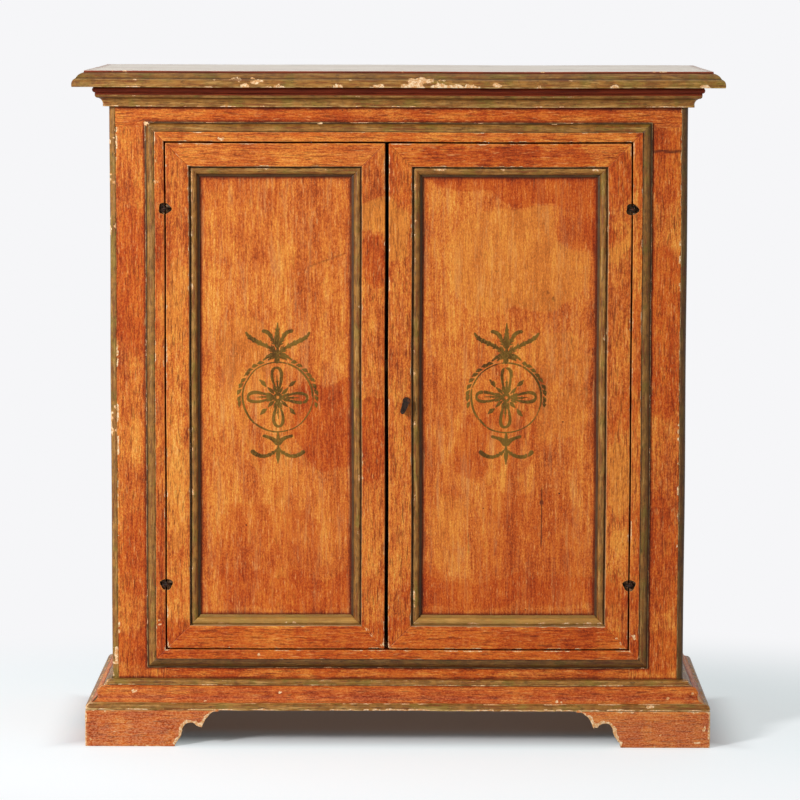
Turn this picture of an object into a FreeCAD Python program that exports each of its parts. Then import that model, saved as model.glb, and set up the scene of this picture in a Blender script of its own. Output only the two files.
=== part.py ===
import FreeCAD, Part
import os
from math import cos, radians, sin, sqrt
from FreeCAD import Vector

# Painted two-door credenza, in millimetres: +X to the viewer's right, +Y to the back, +Z up.
# The origin is on the floor under the middle.

# Whole piece and top
TOP_WIDTH = 1000.0
TOP_DEPTH = 455.0
TOTAL_HEIGHT = 1050.0
TOP_THICKNESS = 25.0
TOP_OVERHANG = 53.0
TOP_NOSE = 5.0
TOP_FILLET = 3.5
TOP_EDGE_INSET = 18.0
TOP_FILLET_SHELF = 2.0
MOULDING_FILLET = 1.5

# Cornice under the top
CORNICE_HEIGHT = 31.0
CORNICE_PROJECTION = 24.0
CORNICE_ROUND = 9.5
CORNICE_OVOLO = 8.0
CORNICE_OVOLO_NOSE = 3.0
CORNICE_QUIRK = 1.0
CORNICE_OVOLO_OUT = 20.0
CORNICE_COVE_OUT = 15.5
CORNICE_FOOT_OUT = 9.0

# Base moulding and bracket feet
FOOT_HEIGHT = 57.0
BASE_HEIGHT = 44.0
BASE_PROJECTION = 40.0
BASE_OVOLO = 11.0
BASE_OVOLO_OUT = 33.5
BASE_OGEE = 24.0
BASE_OGEE_OUT = 31.5
BASE_CAP_OUT = 13.0
BASE_CAP_IN = 8.5
BASE_CAP_STEP = 2.0
BRACKET_THICKNESS = 24.0
BRACKET_FOOT = 139.0
BRACKET_NECK = 153.0
BRACKET_NECK_HEIGHT = 24.0
BRACKET_WAVE = 172.0
BRACKET_WAVE_HEIGHT = 32.5
BRACKET_CUSP = 183.0
BRACKET_LENGTH = 209.0
BRACKET_CUSP_HEIGHT = 29.0
BRACKET_BEAK_RUN = 3.0
BRACKET_BEAK_RISE = 7.0
BLOCK_SIZE = 46.0
BLOCK_LIFT = 3.0

# Case boards
SIDE_THICKNESS = 22.0
BACK_THICKNESS = 12.0
BACK_REBATE = 12.0
BACK_GAP = 0.6
BOTTOM_THICKNESS = 18.0
BOTTOM_LIP = 8.0
HOUSING_DEPTH = 8.0
SHELF_THICKNESS = 18.0
SHELF_SETBACK = 14.0
LOWER_ROOM = 425.0
CLEAT_SIZE = 20.0

# Face frame and door surround
FACE_THICKNESS = 20.0
FACE_STILE = 75.0
UPPER_RAIL = 84.0
LOWER_RAIL = 91.0
FACE_TENON = 28.0
FACE_TENON_THICKNESS = 7.0
FACE_TENON_SHOULDER = 14.0
CORNER_BEAD = 10.0
CORNER_QUIRK = 1.5
SURROUND_WIDTH = 30.0
SURROUND_THICKNESS = 10.0
SURROUND_BAND = 15.0
SURROUND_STEP = 2.0
SURROUND_LIP = 3.0
SURROUND_LIP_WIDTH = 2.5

# Doors
MEETING_X = -17.8
DOOR_SIDE_GAP = 2.4
DOOR_TOP_GAP = 2.5
DOOR_BOTTOM_GAP = 2.2
DOOR_MEETING_GAP = 5.6
DOOR_THICKNESS = 29.0
DOOR_MEMBER = 36.0
DOOR_TENON = 27.0
DOOR_TENON_WIDTH = 18.0
DOOR_TENON_INSET = 8.0
PANEL_RECESS = 14.0
PANEL_THICKNESS = 9.0
PANEL_TONGUE = 5.0
PANEL_PLAY = 0.4
BEAD_WIDTH = 16.0
BEAD_HEIGHT = 10.0
BEAD_QUIRK = 2.5
BEAD_QUIRK_DEPTH = 3.0
BEAD_INNER_EDGE = 2.5
BEAD_ROUND = 5.0
BEAD_CROWN = 1.0
BEAD_SHOULDER = 1.5

# Linked eye hinges
HINGE_INSET = 101.0
EYE_WIRE = 1.5
EYE_CHAMFER = 0.8
SHANK_HALF = 1.3
CASE_EYE = 4.2
DOOR_EYE = 3.75
AXIS_PROUD = 0.5
POCKET_HALF_WIDTH = 11.5
POCKET_HALF_HEIGHT = 9.5
POCKET_DEPTH = 8.2
BORE_PLAY = 0.1
BORE_LENGTH = 80.0
CUT_THROUGH = 1.0
CLINCH_HALF = 1.1
CLINCH_LENGTH = 10.0

# Thumb turn and tongue
LATCH_INSET = 28.0
LATCH_HEIGHT = 540.0
LATCH_LEAN = 20.0
SPINDLE_RADIUS = 2.5
SPINDLE_PLAY = 0.15
COLLAR_RADIUS = 6.0
COLLAR_THICKNESS = 3.0
NECK_SHOULDER = 1.0
NECK_LENGTH = 4.0
GRIP_THICKNESS = 4.5
GRIP_REACH = 17.0
GRIP_BIG_RADIUS = 5.5
GRIP_SMALL_RADIUS = 3.6
TONGUE_LENGTH = 48.0
TONGUE_HALF_WIDTH = 6.0
TONGUE_THICKNESS = 4.0
TONGUE_SQUARE = 3.4
MOVING_GAP = 0.5

# Bolt of the left door
BOLT_RADIUS = 3.0
BOLT_LENGTH = 112.0
BOLT_DROP = 6.0
BOLT_GRIP_RADIUS = 2.5
BOLT_GRIP_LENGTH = 11.0
STAPLE_SPACING = 64.0
STAPLE_TOP = 26.0
STAPLE_BITE = 9.0

# Planes and edges that follow from the sizes above
CASE_HALF = TOP_WIDTH / 2 - TOP_OVERHANG
BACK_Y = TOP_DEPTH / 2
FACE_Y = TOP_OVERHANG - TOP_DEPTH / 2
FACE_BACK_Y = FACE_Y + FACE_THICKNESS
CASE_TOP = TOTAL_HEIGHT - TOP_THICKNESS
OPENING_LOW = FOOT_HEIGHT + LOWER_RAIL
OPENING_HIGH = CASE_TOP - UPPER_RAIL
BOTTOM_TOP = OPENING_LOW + BOTTOM_LIP
SHELF_LOW = BOTTOM_TOP + LOWER_ROOM
BACK_FRONT_Y = BACK_Y - BACK_THICKNESS
STILE_OUTER = CASE_HALF - CORNER_BEAD
OPENING_HALF = STILE_OUTER - FACE_STILE
INNER_HALF = CASE_HALF - SIDE_THICKNESS
DOOR_FRONT_Y = FACE_Y - SURROUND_THICKNESS
DOOR_BACK_Y = DOOR_FRONT_Y + DOOR_THICKNESS
DOOR_LOW = OPENING_LOW + DOOR_BOTTOM_GAP
DOOR_HIGH = OPENING_HIGH - DOOR_TOP_GAP
LEFT_DOOR = (DOOR_SIDE_GAP - OPENING_HALF, MEETING_X - DOOR_MEETING_GAP / 2)
RIGHT_DOOR = (MEETING_X + DOOR_MEETING_GAP / 2, OPENING_HALF - DOOR_SIDE_GAP)
HINGE_HEIGHTS = (DOOR_LOW + HINGE_INSET, DOOR_HIGH - HINGE_INSET)
AXIS_X = OPENING_HALF - DOOR_SIDE_GAP / 2
AXIS_Y = DOOR_FRONT_Y - AXIS_PROUD
LATCH_X = RIGHT_DOOR[0] + LATCH_INSET
BOLT_X = LEFT_DOOR[1] - DOOR_MEMBER / 2
BOLT_Y = FACE_BACK_Y + MOVING_GAP + BOLT_RADIUS
UP = Vector(0, 0, 1)
DIAGONAL = 1 / sqrt(2)


def closed_wire(place, points):
    """Closed wire through (u, v) points. A third value makes an arc, its rise over its chord, to the left."""
    edges = []
    for start, end in zip(points, points[1:] + points[:1]):
        if len(end) == 2:
            edges.append(Part.LineSegment(place(*start[:2]), place(*end)).toShape())
            continue
        du, dv = end[0] - start[0], end[1] - start[1]
        middle = place((start[0] + end[0]) / 2 - dv * end[2], (start[1] + end[1]) / 2 + du * end[2])
        edges.append(Part.Arc(place(*start[:2]), middle, place(*end[:2])).toShape())
    return Part.Wire(edges)


def prism(place, points, along):
    return Part.Face(closed_wire(place, points)).extrude(along)


def box(low, high):
    return Part.makeBox(*[b - a for a, b in zip(low, high)], Vector(*low))


def plan_prism(points, low, high):
    return prism(lambda x, y: Vector(x, y, low), points, Vector(0, 0, high - low))


def front_prism(points, front, back):
    return prism(lambda x, z: Vector(x, front, z), points, Vector(0, back - front, 0))


def joined(shapes):
    return shapes[0].fuse(shapes[1:]).removeSplitter()


def mirrored(shape):
    return shape.mirror(Vector(0, 0, 0), Vector(1, 0, 0))


def make_top():
    """Board whose edge profile runs round the front and both ends, with a square back."""
    round_top = TOP_THICKNESS - TOP_FILLET
    round_in = TOP_EDGE_INSET - TOP_FILLET_SHELF
    edge = [(0, TOP_NOSE), (round_in, round_top, 0.2)]
    edge += [(TOP_EDGE_INSET, round_top), (TOP_EDGE_INSET, TOP_THICKNESS)]
    across = [(0, 0)] + edge + [(TOP_DEPTH, TOP_THICKNESS), (TOP_DEPTH, 0)]
    left_end = lambda u, v: Vector(-TOP_WIDTH / 2, u - BACK_Y, CASE_TOP + v)
    long_way = prism(left_end, across, Vector(TOP_WIDTH, 0, 0))
    half = [(0, 0)] + edge + [(TOP_WIDTH / 2, TOP_THICKNESS), (TOP_WIDTH / 2, 0)]
    left = prism(lambda u, v: Vector(u - TOP_WIDTH / 2, -BACK_Y, CASE_TOP + v), half, Vector(0, TOP_DEPTH, 0))
    return {"top_board": long_way.common(joined([left, mirrored(left)]))}


def wrapped(name, points, reach):
    """Moulding run round the front and both sides of the case, mitred at the front corners."""
    low, high = min(p[1] for p in points), max(p[1] for p in points)
    outer, front = CASE_HALF + reach, FACE_Y - reach
    run = prism(lambda p, z: Vector(-outer, FACE_Y - p, z), points, Vector(2 * outer, 0, 0))
    mitre = [(-CASE_HALF, FACE_Y), (CASE_HALF, FACE_Y), (outer, front), (-outer, front)]
    side = prism(lambda p, z: Vector(CASE_HALF + p, front, z), points, Vector(0, BACK_Y - front, 0))
    side_mitre = [(CASE_HALF, FACE_Y), (outer, front), (outer, BACK_Y), (CASE_HALF, BACK_Y)]
    right = side.common(plan_prism(side_mitre, low, high))
    return {
        name + "_front": run.common(plan_prism(mitre, low, high)),
        name + "_left": mirrored(right),
        name + "_right": right,
    }


def make_cornice():
    round_low = CASE_TOP - CORNICE_ROUND
    ovolo_low = round_low - CORNICE_OVOLO
    low = CASE_TOP - CORNICE_HEIGHT
    shoulder = CORNICE_PROJECTION - CORNICE_ROUND / 2
    points = [
        (0, CASE_TOP), (0, low), (CORNICE_FOOT_OUT, low), (CORNICE_FOOT_OUT, low + MOULDING_FILLET),
        (CORNICE_COVE_OUT, ovolo_low, 0.17), (CORNICE_COVE_OUT + CORNICE_QUIRK, ovolo_low),
        (CORNICE_OVOLO_OUT, round_low - CORNICE_OVOLO_NOSE, -0.2), (CORNICE_OVOLO_OUT, round_low),
        (shoulder, round_low), (shoulder, CASE_TOP, -0.5),
    ]
    return wrapped("cornice", points, CORNICE_PROJECTION)


def make_base():
    low, high = FOOT_HEIGHT, FOOT_HEIGHT + BASE_HEIGHT
    ogee_low = low + BASE_OVOLO
    ogee_high = ogee_low + BASE_OGEE
    middle = (BASE_OGEE_OUT + BASE_CAP_OUT) / 2
    points = [
        (0, low), (BASE_PROJECTION, low), (BASE_PROJECTION, low + MOULDING_FILLET),
        (BASE_OVOLO_OUT, ogee_low, -0.2),
        (BASE_OGEE_OUT, ogee_low), (middle, ogee_low + BASE_OGEE / 2, 0.16),
        (BASE_CAP_OUT + BASE_CAP_STEP, ogee_high, -0.18), (BASE_CAP_OUT, ogee_high),
        (BASE_CAP_OUT, ogee_high + MOULDING_FILLET), (BASE_CAP_IN, high - MOULDING_FILLET, 0.16), (0, high),
    ]
    return wrapped("base_moulding", points, BASE_PROJECTION)


def bracket_outline(sign, origin):
    """Scrolled bracket seen square on, running from its outer edge at origin in the direction of sign."""
    beak = (BRACKET_CUSP + BRACKET_BEAK_RUN, BRACKET_CUSP_HEIGHT + BRACKET_BEAK_RISE)
    points = [
        (0, 0), (BRACKET_FOOT, 0), (BRACKET_NECK, BRACKET_NECK_HEIGHT, -0.06),
        (BRACKET_WAVE, BRACKET_WAVE_HEIGHT, 0.36), (BRACKET_CUSP, BRACKET_CUSP_HEIGHT, -0.08),
        beak, (BRACKET_LENGTH, FOOT_HEIGHT, 0.1), (0, FOOT_HEIGHT),
    ]
    return [(origin + sign * p[0], p[1]) + tuple(sign * b for b in p[2:]) for p in points]


def make_feet():
    outer, front = CASE_HALF + BASE_PROJECTION, FACE_Y - BASE_PROJECTION
    inner, behind = outer - BRACKET_THICKNESS, front + BRACKET_THICKNESS
    corner = [(outer, front), (inner, behind), (0, behind), (0, front)]
    front_right = front_prism(bracket_outline(-1, outer), front, behind)
    front_right = front_right.common(plan_prism(corner, 0, FOOT_HEIGHT))
    side = lambda y, z: Vector(inner, y, z)
    across = Vector(BRACKET_THICKNESS, 0, 0)
    corner = [(outer, front), (outer, BACK_Y), (inner, BACK_Y), (inner, behind)]
    side_front = prism(side, bracket_outline(1, front), across).common(plan_prism(corner, 0, FOOT_HEIGHT))
    side_back = prism(side, bracket_outline(-1, BACK_Y), across)
    block = box((inner - BLOCK_SIZE, behind, BLOCK_LIFT), (inner, behind + BLOCK_SIZE, FOOT_HEIGHT))
    back_block = box((inner - BLOCK_SIZE, BACK_Y - BLOCK_SIZE, BLOCK_LIFT), (inner, BACK_Y, FOOT_HEIGHT))
    return {
        "bracket_front_left": mirrored(front_right), "bracket_front_right": front_right,
        "bracket_side_left_front": mirrored(side_front), "bracket_side_right_front": side_front,
        "bracket_side_left_back": mirrored(side_back), "bracket_side_right_back": side_back,
        "foot_blocks": Part.makeCompound([block, back_block, mirrored(block), mirrored(back_block)]),
    }


def make_case():
    """Boxes of the case: sides, bottom, shelf, cleats and back."""
    housing_out = INNER_HALF + HOUSING_DEPTH
    bottom_low = BOTTOM_TOP - BOTTOM_THICKNESS
    bottom = box((-housing_out, FACE_BACK_Y, bottom_low), (housing_out, BACK_FRONT_Y, BOTTOM_TOP))
    side = box((INNER_HALF, FACE_BACK_Y, FOOT_HEIGHT), (CASE_HALF, BACK_Y, CASE_TOP))
    rebate = box((INNER_HALF, BACK_FRONT_Y, FOOT_HEIGHT), (INNER_HALF + BACK_REBATE, BACK_Y, CASE_TOP))
    side = side.cut(rebate).cut(bottom)
    shelf_front = FACE_BACK_Y + SHELF_SETBACK
    shelf_top = SHELF_LOW + SHELF_THICKNESS
    shelf = box((-INNER_HALF, shelf_front, SHELF_LOW), (INNER_HALF, BACK_FRONT_Y, shelf_top))
    cleat_in = INNER_HALF - CLEAT_SIZE
    cleat = box((cleat_in, shelf_front, SHELF_LOW - CLEAT_SIZE), (INNER_HALF, BACK_FRONT_Y, SHELF_LOW))
    top_cleat = box((cleat_in, FACE_BACK_Y, CASE_TOP - CLEAT_SIZE), (INNER_HALF, BACK_FRONT_Y, CASE_TOP))
    back_half = INNER_HALF + BACK_REBATE
    width = 2 * back_half / 3
    boards = []
    for i in range(3):
        left = -back_half + i * width + (BACK_GAP / 2 if i > 0 else 0)
        right = -back_half + (i + 1) * width - (BACK_GAP / 2 if i < 2 else 0)
        boards.append(box((left, BACK_FRONT_Y, FOOT_HEIGHT), (right, BACK_Y, CASE_TOP)))
    return {
        "side_left": mirrored(side), "side_right": side, "bottom_board": bottom, "shelf": shelf,
        "shelf_cleats": Part.makeCompound([cleat, mirrored(cleat)]),
        "top_cleats": Part.makeCompound([top_cleat, mirrored(top_cleat)]),
        "back_boards": Part.makeCompound(boards),
    }


def make_face_frame():
    """Stiles and tenoned rails, with the rounded strip at each front corner."""
    stile = box((OPENING_HALF, FACE_Y, FOOT_HEIGHT), (STILE_OUTER, FACE_BACK_Y, CASE_TOP))
    middle = (FACE_Y + FACE_BACK_Y) / 2
    reach = OPENING_HALF + FACE_TENON
    rails = {}
    for name, low, high in (("top", OPENING_HIGH, CASE_TOP), ("bottom", FOOT_HEIGHT, OPENING_LOW)):
        rail = box((-OPENING_HALF, FACE_Y, low), (OPENING_HALF, FACE_BACK_Y, high))
        tenon = box(
            (-reach, middle - FACE_TENON_THICKNESS / 2, low + FACE_TENON_SHOULDER),
            (reach, middle + FACE_TENON_THICKNESS / 2, high - FACE_TENON_SHOULDER),
        )
        stile = stile.cut(tenon)
        rails["face_rail_" + name] = joined([rail, tenon])
    quirk = STILE_OUTER + CORNER_QUIRK
    radius = CASE_HALF - quirk
    bead = plan_prism([
        (STILE_OUTER, FACE_BACK_Y), (STILE_OUTER, FACE_Y + 2 * CORNER_QUIRK), (quirk, FACE_Y + CORNER_QUIRK),
        (quirk, FACE_Y), (CASE_HALF, FACE_Y + radius, -0.2071), (CASE_HALF, FACE_BACK_Y),
    ], FOOT_HEIGHT, CASE_TOP)
    return dict(
        rails, face_stile_left=mirrored(stile), face_stile_right=stile,
        corner_bead_left=mirrored(bead), corner_bead_right=bead,
    )


def frame_strips(left, right, low, high, width, points, front, sign):
    """Four mitred strips round a rectangle, growing outwards (sign 1) or inwards (sign -1) from its edges.

    points is the strip's section: distance from the rectangle's edge, then depth behind front.
    """
    grow = sign * width
    a, b, c, d = left - grow, right + grow, low - grow, high + grow
    shear = {
        "top": [(left, high), (right, high), (b, d), (a, d)],
        "bottom": [(left, low), (a, c), (b, c), (right, low)],
        "left": [(left, low), (left, high), (a, d), (a, c)],
        "right": [(right, low), (b, c), (b, d), (right, high)],
    }
    xa, xb, za, zb = min(left, a), max(right, b), min(low, c), max(high, d)
    along_x, along_z = Vector(xb - xa, 0, 0), Vector(0, 0, zb - za)
    runs = {
        "top": prism(lambda w, t: Vector(xa, front + t, high + sign * w), points, along_x),
        "bottom": prism(lambda w, t: Vector(xa, front + t, low - sign * w), points, along_x),
        "left": prism(lambda w, t: Vector(left - sign * w, front + t, za), points, along_z),
        "right": prism(lambda w, t: Vector(right + sign * w, front + t, za), points, along_z),
    }
    deep = max(p[1] for p in points)
    return {side: runs[side].common(front_prism(shear[side], front, front + deep)) for side in runs}


def pocket(side, height):
    """Diamond-shaped notch that lets a hinge into the front arris of the surround and of the door."""
    x = side * AXIS_X
    points = [
        (x - POCKET_HALF_WIDTH, height), (x, height - POCKET_HALF_HEIGHT),
        (x + POCKET_HALF_WIDTH, height), (x, height + POCKET_HALF_HEIGHT),
    ]
    return front_prism(points, DOOR_FRONT_Y - CUT_THROUGH, DOOR_FRONT_Y + POCKET_DEPTH)


def bar(start, way, half, length):
    """Square iron bar from start along way, with one pair of its faces upright."""
    across = way.cross(UP)
    corners = [start + across * (half * i) + UP * (half * j) for i, j in ((1, 1), (-1, 1), (-1, -1), (1, -1))]
    return Part.Face(Part.makePolygon(corners + corners[:1])).extrude(way * length)


def ring(radius, centre, axis, towards, angle):
    """Ring of square wire with its arrises knocked off, turned about axis from the direction towards."""
    half, cut = EYE_WIRE, EYE_WIRE - EYE_CHAMFER
    outline = [(half, -cut), (half, cut), (cut, half), (-cut, half)]
    outline += [(-a, -b) for a, b in outline]
    corners = [centre + towards * (radius + a) + axis * b for a, b in outline]
    return Part.Face(Part.makePolygon(corners + corners[:1])).revolve(centre, axis, angle)


def legs(start, way, back):
    """Shank of an eye through the wood at 45 degrees, and its ends clinched up and down behind it."""
    turn = start + way * ((back + CLINCH_HALF + BORE_PLAY - start.y) / way.y)
    shank = bar(start, way, SHANK_HALF, (turn - start).Length)
    clinch = Part.makeBox(2 * CLINCH_HALF, 2 * CLINCH_HALF, 2 * CLINCH_LENGTH)
    clinch.translate(turn - Vector(CLINCH_HALF, CLINCH_HALF, CLINCH_LENGTH))
    return [shank, clinch]


def case_eye(side, height):
    way = Vector(side * DIAGONAL, DIAGONAL, 0)
    axis = Vector(side * AXIS_X, AXIS_Y, height)
    eye = ring(CASE_EYE, axis + way * CASE_EYE, way.cross(UP), way, 360)
    return joined([eye] + legs(axis + way * 2 * CASE_EYE, way, FACE_BACK_Y))


def door_eye(side, height):
    way = Vector(-side * DIAGONAL, DIAGONAL, 0)
    axis = Vector(side * AXIS_X, AXIS_Y, height)
    eye = ring(DOOR_EYE, axis, UP, way, 360)
    return joined([eye] + legs(axis + way * DOOR_EYE, way, DOOR_BACK_Y))


def bore(side, height, inwards):
    way = Vector(-side * DIAGONAL if inwards else side * DIAGONAL, DIAGONAL, 0)
    return bar(Vector(side * AXIS_X, AXIS_Y, height), way, SHANK_HALF + BORE_PLAY, BORE_LENGTH)


def make_surround(case):
    """Applied frame round the doors, notched and bored for the hinges together with the stiles behind it."""
    fillet = SURROUND_WIDTH - SURROUND_LIP_WIDTH
    thick = SURROUND_THICKNESS
    points = [
        (0, 0), (SURROUND_BAND, 0), (SURROUND_BAND, SURROUND_STEP),
        (fillet, thick - SURROUND_LIP, 0.14), (SURROUND_WIDTH, thick - SURROUND_LIP),
        (SURROUND_WIDTH, thick), (0, thick),
    ]
    strips = frame_strips(
        -OPENING_HALF, OPENING_HALF, OPENING_LOW, OPENING_HIGH, SURROUND_WIDTH, points, DOOR_FRONT_Y, 1)
    for name, side in (("left", -1), ("right", 1)):
        for height in HINGE_HEIGHTS:
            hole = bore(side, height, False)
            strips[name] = strips[name].cut(pocket(side, height)).cut(hole)
            case["face_stile_" + name] = case["face_stile_" + name].cut(hole)
        case["case_eyes_" + name] = Part.makeCompound([case_eye(side, height) for height in HINGE_HEIGHTS])
    return {"surround_" + name: strip for name, strip in strips.items()}


def make_door(name, edges, hinge_side):
    """Mitred frame with hidden tenons, a panel in its groove, a mitred bead and the two door eyes."""
    left, right = edges
    square = [(0, 0), (DOOR_MEMBER, 0), (DOOR_MEMBER, DOOR_THICKNESS), (0, DOOR_THICKNESS)]
    members = frame_strips(left, right, DOOR_LOW, DOOR_HIGH, DOOR_MEMBER, square, DOOR_FRONT_Y, -1)
    in_left, in_right = left + DOOR_MEMBER, right - DOOR_MEMBER
    in_low, in_high = DOOR_LOW + DOOR_MEMBER, DOOR_HIGH - DOOR_MEMBER
    panel_y = DOOR_FRONT_Y + PANEL_RECESS
    groove = box(
        (in_left - PANEL_TONGUE, panel_y, in_low - PANEL_TONGUE),
        (in_right + PANEL_TONGUE, panel_y + PANEL_THICKNESS, in_high + PANEL_TONGUE),
    )
    reach = PANEL_TONGUE - PANEL_PLAY
    panel = box(
        (in_left - reach, panel_y, in_low - PANEL_TONGUE),
        (in_right + reach, panel_y + PANEL_THICKNESS, in_high + reach),
    )
    tenons = {}
    high_tenon = in_high + DOOR_TENON_INSET
    low_tenon = in_low - DOOR_TENON_INSET - DOOR_TENON_WIDTH
    for rail, low in (("top", high_tenon), ("bottom", low_tenon)):
        tenons[rail] = box(
            (in_left - DOOR_TENON, panel_y, low),
            (in_right + DOOR_TENON, panel_y + PANEL_THICKNESS, low + DOOR_TENON_WIDTH),
        )
        members[rail] = joined([members[rail], tenons[rail]]).cut(groove)
    for stile in ("left", "right"):
        members[stile] = members[stile].cut(groove).cut(tenons["top"]).cut(tenons["bottom"])
    hinge, meeting = ("left", "right") if hinge_side < 0 else ("right", "left")
    for height in HINGE_HEIGHTS:
        members[hinge] = members[hinge].cut(pocket(hinge_side, height)).cut(bore(hinge_side, height, True))
    top = PANEL_RECESS - BEAD_HEIGHT
    points = [
        (0, PANEL_RECESS), (0, top + BEAD_QUIRK_DEPTH), (BEAD_QUIRK, top + BEAD_QUIRK_DEPTH),
        (BEAD_QUIRK, top + BEAD_SHOULDER), (BEAD_QUIRK + BEAD_ROUND, top + BEAD_CROWN, -0.2),
        (BEAD_WIDTH, PANEL_RECESS - BEAD_INNER_EDGE, -0.2),
        (BEAD_WIDTH, PANEL_RECESS),
    ]
    beads = frame_strips(in_left, in_right, in_low, in_high, BEAD_WIDTH, points, DOOR_FRONT_Y, -1)
    nodes = {name + "_bead_" + side: bead for side, bead in beads.items()}
    nodes[name + "_hinge_stile"] = members[hinge]
    nodes[name + "_meeting_stile"] = members[meeting]
    nodes[name + "_top_rail"] = members["top"]
    nodes[name + "_bottom_rail"] = members["bottom"]
    nodes[name + "_panel"] = panel
    nodes[name + "_door_eyes"] = Part.makeCompound([door_eye(hinge_side, height) for height in HINGE_HEIGHTS])
    return nodes


def leaning(length):
    """Point at a distance from the spindle along the resting direction of grip and tongue."""
    return Vector(-length * sin(radians(LATCH_LEAN)), 0, -length * cos(radians(LATCH_LEAN)))


def make_latch(door):
    """Thumb turn on its spindle, and the tongue riveted to the spindle's square end behind the door."""
    front = Vector(LATCH_X, DOOR_FRONT_Y, LATCH_HEIGHT)
    back = Vector(0, 1, 0)
    tongue_y = FACE_BACK_Y + MOVING_GAP
    spindle_length = tongue_y - front.y + NECK_LENGTH
    spindle = Part.makeCylinder(SPINDLE_RADIUS, spindle_length, front - back * NECK_LENGTH, back)
    collar_front = front - back * (COLLAR_THICKNESS + MOVING_GAP)
    collar = Part.makeCylinder(COLLAR_RADIUS, COLLAR_THICKNESS, collar_front, back)
    neck_start = front - back * (COLLAR_THICKNESS + NECK_LENGTH + MOVING_GAP)
    neck = Part.makeCylinder(SPINDLE_RADIUS + NECK_SHOULDER, NECK_LENGTH, neck_start, back)
    lift = back * GRIP_THICKNESS
    big = Part.makeCylinder(GRIP_BIG_RADIUS, GRIP_THICKNESS, neck_start - lift, back)
    small_centre = neck_start - lift + leaning(GRIP_REACH)
    small = Part.makeCylinder(GRIP_SMALL_RADIUS, GRIP_THICKNESS, small_centre, back)
    along = leaning(1.0)
    across = Vector(-along.z, 0, along.x)
    slope = (GRIP_BIG_RADIUS - GRIP_SMALL_RADIUS) / GRIP_REACH
    rise = sqrt(1 - slope * slope)
    start = neck_start - lift
    corners = []
    for radius, centre in ((GRIP_BIG_RADIUS, start), (GRIP_SMALL_RADIUS, start + leaning(GRIP_REACH))):
        for turn in (1, -1) if radius == GRIP_BIG_RADIUS else (-1, 1):
            corners.append(centre + along * (radius * slope) + across * (turn * radius * rise))
    web = Part.Face(Part.makePolygon(corners + corners[:1])).extrude(lift)
    half = TONGUE_SQUARE / 2
    square = box(
        (LATCH_X - half, tongue_y, LATCH_HEIGHT - half),
        (LATCH_X + half, tongue_y + TONGUE_THICKNESS, LATCH_HEIGHT + half),
    )
    turn = joined([spindle, collar, neck, big, small, web, square])
    hub = Vector(LATCH_X, tongue_y, LATCH_HEIGHT)
    edge = across * TONGUE_HALF_WIDTH
    tip = hub + leaning(TONGUE_LENGTH)
    bar = Part.Face(Part.makePolygon([hub + edge, hub - edge, tip - edge, tip + edge, hub + edge]))
    thick = back * TONGUE_THICKNESS
    head = Part.makeCylinder(TONGUE_HALF_WIDTH, TONGUE_THICKNESS, hub, back)
    tongue = joined([bar.extrude(thick), head]).cut(square)
    hole = Part.makeCylinder(SPINDLE_RADIUS + SPINDLE_PLAY, 2 * DOOR_THICKNESS, front - back, back)
    door["right_meeting_stile"] = door["right_meeting_stile"].cut(hole)
    return {"latch_turn": turn, "latch_tongue": tongue}


def make_bolt(door):
    """Iron bolt behind the left door's meeting stile, in two staples driven into the stile."""
    top = OPENING_HIGH - BOLT_DROP
    foot = Vector(BOLT_X, BOLT_Y, top - BOLT_LENGTH)
    rod = Part.makeCylinder(BOLT_RADIUS, BOLT_LENGTH, foot, UP)
    loop_radius = BOLT_RADIUS + MOVING_GAP + EYE_WIRE
    low_staple = top - STAPLE_TOP - STAPLE_SPACING
    grip_z = low_staple + EYE_WIRE + MOVING_GAP + BOLT_GRIP_RADIUS
    into_case = Vector(0, 1, 0)
    grip = Part.makeCylinder(
        BOLT_GRIP_RADIUS, BOLT_GRIP_LENGTH + BOLT_RADIUS, Vector(BOLT_X, BOLT_Y, grip_z), into_case)
    staples = []
    for height in (low_staple, low_staple + STAPLE_SPACING):
        centre = Vector(BOLT_X, BOLT_Y, height)
        ends = []
        for sign in (-1, 1):
            tip = Vector(BOLT_X + sign * loop_radius, DOOR_BACK_Y - STAPLE_BITE, height)
            ends.append(bar(tip, into_case, SHANK_HALF, BOLT_Y - tip.y))
            hole = bar(tip, into_case, SHANK_HALF + BORE_PLAY, STAPLE_BITE + CUT_THROUGH)
            door["left_meeting_stile"] = door["left_meeting_stile"].cut(hole)
        staples.append(joined([ring(loop_radius, centre, UP, Vector(1, 0, 0), 180)] + ends))
    return {"bolt": joined([rod, grip]), "bolt_staples": Part.makeCompound(staples)}


def main():
    case = {}
    for part in (make_top(), make_cornice(), make_base(), make_feet(), make_case(), make_face_frame()):
        case.update(part)
    case.update(make_surround(case))
    left_door = make_door("left", LEFT_DOOR, -1)
    right_door = make_door("right", RIGHT_DOOR, 1)
    nodes = dict(case, **left_door, **right_door)
    nodes.update(make_bolt(nodes))
    nodes.update(make_latch(nodes))
    os.makedirs("parts", exist_ok=True)
    for name, shape in nodes.items():
        shape.exportStep("parts/" + name + ".step")


main()
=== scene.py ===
# Looks of the painted credenza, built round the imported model: scene in metres, sections in millimetres.
import math

import bmesh
import bpy
import numpy as np
from mathutils import Matrix, Vector
from mathutils.geometry import delaunay_2d_cdt


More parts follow.
